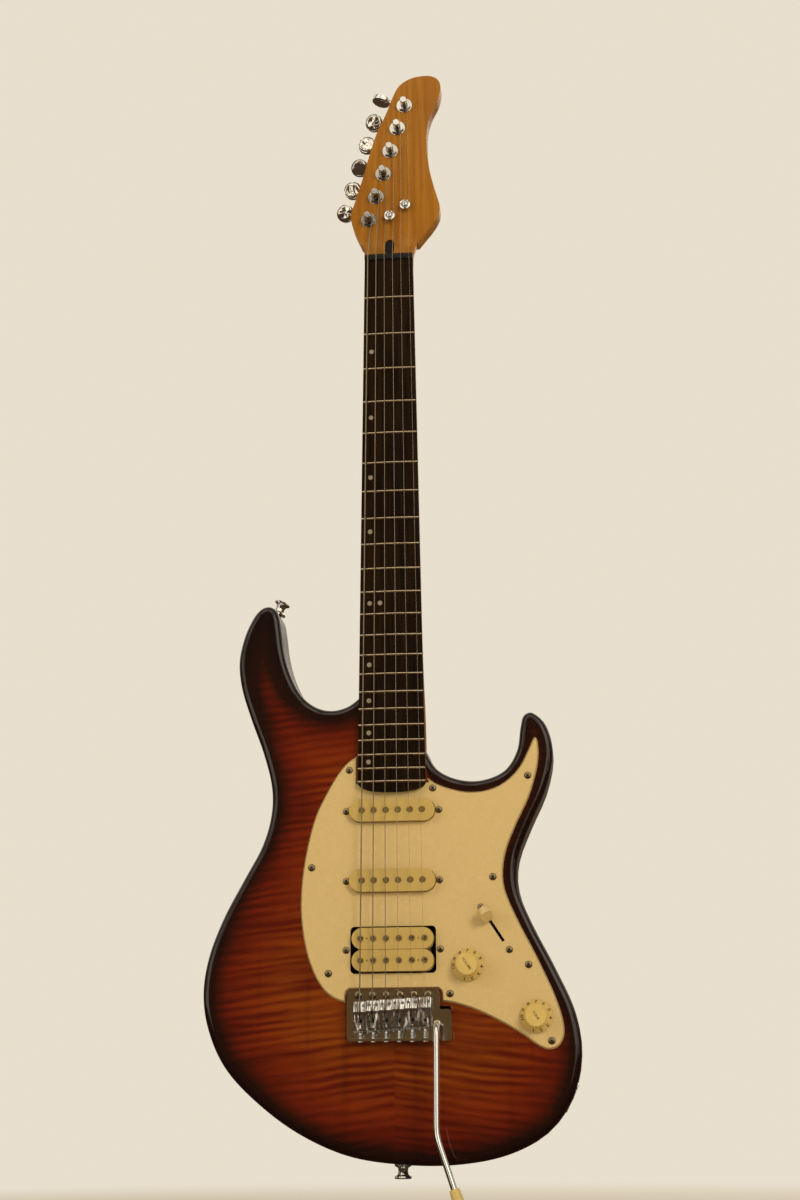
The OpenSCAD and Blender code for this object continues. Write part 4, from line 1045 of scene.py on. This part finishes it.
for body, centre, word in KNOBS:
    made = bmesh.new()
    for number in range(DIAL_NUMBERS):
        turn = math.radians(DIAL_START + DIAL_STEP * number)
        out = Vector((math.cos(turn), math.sin(turn), 0))
        spot = Vector((*centre, KNOB_BASE)) + out * NUMBER_RING + Vector((0, 0, NUMBER_LEVEL))
        up = out * math.cos(SKIRT_SLOPE) - Vector((0, 0, math.sin(SKIRT_SLOPE)))
        right = up.cross(out * math.sin(SKIRT_SLOPE) + Vector((0, 0, math.cos(SKIRT_SLOPE))))
        letters(made, str(number + 1), NUMBER_SIZE, frame_at(spot, right, up))
    right = Vector((math.cos(WORD_LEAN), math.sin(WORD_LEAN), 0))
    up = Vector((-right.y, right.x, 0))
    letters(made, word, WORD_SIZE, frame_at((*centre, KNOB_BASE + KNOB_HEIGHT), right, up))
    numbers = mesh_object(body + "_numbers", made, ink, body, False)

# Stage

PALE = (0.81, 0.735, 0.61)
FLOOR_REACH = 6.0
FLOOR_DROP = 0.02
FLOOR_FADE = (0.95, 1.7)
FLOOR_MIRRORED = (0.06, 0.035, 0.02)


def make_floor_paint():
    """Pale paint that takes a shadow near the object, glows further off, and is dim in mirrors."""
    made, tree, shader = material("pale_floor", PALE, 0.8)
    away = vector_node(tree, "LENGTH", place_of(tree))["Value"]
    fade = span(tree, away, FLOOR_FADE, interpolation_type="SMOOTHSTEP")
    glow = add(tree, "ShaderNodeEmission", {"Color": (*PALE, 1), "Strength": 1.0})
    pale = add(tree, "ShaderNodeMixShader", {0: fade, 1: shader.outputs[0], 2: glow.outputs[0]})
    dim = add(tree, "ShaderNodeEmission", {"Color": (*FLOOR_MIRRORED, 1), "Strength": 1.0})
    gloss = add(tree, "ShaderNodeLightPath").outputs["Is Glossy Ray"]
    both = add(tree, "ShaderNodeMixShader", {0: gloss, 1: pale.outputs[0], 2: dim.outputs[0]})
    tree.links.new(both.outputs[0], tree.nodes["Material Output"].inputs["Surface"])
    return made


floor_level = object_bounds()[0].z - FLOOR_DROP
floor_mesh = bpy.data.meshes.new("floor")
floor_corners = [(x * FLOOR_REACH, y * FLOOR_REACH, floor_level) for x, y in CORNERS]
floor_mesh.from_pydata(floor_corners, [], [(0, 1, 2, 3)])
floor_mesh.materials.append(make_floor_paint())
floor = bpy.data.objects.new("floor", floor_mesh)
scene.collection.objects.link(floor)

# The world: pale to the camera, an even light on the object, and a dim room in mirrors

AMBIENT = 0.5
ROOM_FRONT = [(0.25, (0.07, 0.047, 0.03)), (0.55, (0.16, 0.11, 0.065)), (0.85, (0.1, 0.057, 0.02))]
ROOM_REAR = [(0.4, (0.05, 0.034, 0.02)), (0.55, (0.1, 0.075, 0.05)), (0.75, PALE)]
ROOM_PATCH = (1.5, 1.35, 1.1)
ROOM_LAMP = (2.2, 2.0, 1.7)
# Directions from the object: the wall that the guitar faces, and the soft lamps before and behind it
FACED_WALL = (-0.1, -0.98, 0.14)
ROOM_LAMPS = ((0.44, -0.81, 0.37), (0.24, 0.86, 0.45))
# Where one part of the room gives way to the next
SIDE_EDGE = (-0.1, 0.1)
WALL_EDGE = (0.2, 0.3)
PATCHED_EDGE = (0.25, 0.5)
PATCH_EDGE = (0.42, 0.5)
LAMP_EDGE = (0.1, 0.22)
PATCH_SCALE = 6.0


def mirrored_room(tree):
    """Bright patches in front but not on the wall faced, a gradient behind, and two soft lamps."""
    way = add(tree, "ShaderNodeTexCoord").outputs["Generated"]
    split = add(tree, "ShaderNodeSeparateXYZ", {0: way}).outputs

    def away_from(spot, edge):
        """0 near a direction, 1 away from it."""
        return span(tree, vector_node(tree, "DISTANCE", way, spot)["Value"], edge)

    facing = math_node(tree, "MULTIPLY", split[1], -1.0)
    front = ramp(tree, facing, ROOM_FRONT)
    rear = ramp(tree, span(tree, split[2], (-1.0, 1.0)), ROOM_REAR)
    room = mix(tree, span(tree, facing, SIDE_EDGE), rear, front)
    aside = away_from(FACED_WALL, WALL_EDGE)
    ahead = span(tree, facing, PATCHED_EDGE)
    patches = span(tree, noise(tree, way, PATCH_SCALE, detail=1.0), PATCH_EDGE)
    spots = math_node(tree, "MULTIPLY", math_node(tree, "MULTIPLY", aside, ahead), patches)
    lit = mix(tree, spots, room, ROOM_PATCH)
    for spot in ROOM_LAMPS:
        lit = mix(tree, away_from(spot, LAMP_EDGE), ROOM_LAMP, lit)
    return lit


def make_world():
    world = bpy.data.worlds.new("pale_world")
    world.use_nodes = True
    tree = world.node_tree
    ambient = tree.nodes["Background"]
    ambient.inputs["Color"].default_value = (*PALE, 1)
    ambient.inputs["Strength"].default_value = AMBIENT
    shown = add(tree, "ShaderNodeBackground", {"Color": (*PALE, 1), "Strength": 1.0}).outputs[0]
    mirrored = add(tree, "ShaderNodeBackground", {"Color": mirrored_room(tree), "Strength": 1.0}).outputs[0]
    path = add(tree, "ShaderNodeLightPath").outputs
    seen = math_node(tree, "MAXIMUM", path["Is Camera Ray"], path["Is Transmission Ray"])
    dull = add(tree, "ShaderNodeMixShader", {0: path["Is Glossy Ray"], 1: ambient.outputs[0], 2: mirrored})
    either = add(tree, "ShaderNodeMixShader", {0: seen, 1: dull.outputs[0], 2: shown})
    tree.links.new(either.outputs[0], tree.nodes["World Output"].inputs["Surface"])
    return world


scene.world = make_world()

# Soft lamps, which mirrors don't show

LAMP_COLOUR = (1, 0.93, 0.82)


def lamp(name, place, aim, size, power):
    data = bpy.data.lights.new(name, "AREA")
    data.shape = "RECTANGLE"
    data.size, data.size_y = size
    data.energy = power
    data.color = LAMP_COLOUR
    obj = bpy.data.objects.new(name, data)
    obj.location = place
    obj.rotation_mode = "QUATERNION"
    obj.rotation_quaternion = (Vector(aim) - Vector(place)).to_track_quat("-Z", "Y")
    obj.visible_glossy = False
    scene.collection.objects.link(obj)


lamp("key", (1.3, -2.4, 0.45), aim=(0, 0, -0.4), size=(0.95, 0.95), power=38)
lamp("fill", (-1.9, -1.6, 0.3), aim=(0, 0, -0.4), size=(1.2, 1.6), power=14)
lamp("back", (0.6, 2.4, 1.2), aim=(0, 0, -0.35), size=(1.6, 1.4), power=22)

# Camera where the photograph was taken from

CAMERA_TURN = Vector((-0.261556, 0.101127, -0.0198976))
CAMERA_AT = (0.164034, -1.55018, -0.727837)
FOCAL_PIXELS = 1904.49
IMAGE_HEIGHT = 1200
SENSOR = 36
LEVEL_VIEW = Matrix(((1, 0, 0), (0, 0, -1), (0, 1, 0)))


def make_camera():
    data = bpy.data.cameras.new("camera")
    data.sensor_width = SENSOR
    data.lens = SENSOR * FOCAL_PIXELS / IMAGE_HEIGHT
    look = Matrix.Rotation(CAMERA_TURN.length, 3, CAMERA_TURN.normalized()) @ LEVEL_VIEW
    axes = Matrix((look[0], -look[1], -look[2])).transposed()
    camera = bpy.data.objects.new("camera", data)
    camera.rotation_mode = "QUATERNION"
    camera.rotation_quaternion = axes.to_quaternion()
    camera.location = CAMERA_AT
    scene.collection.objects.link(camera)
    return camera


scene.camera = make_camera()
scene.view_settings.view_transform = "Standard"
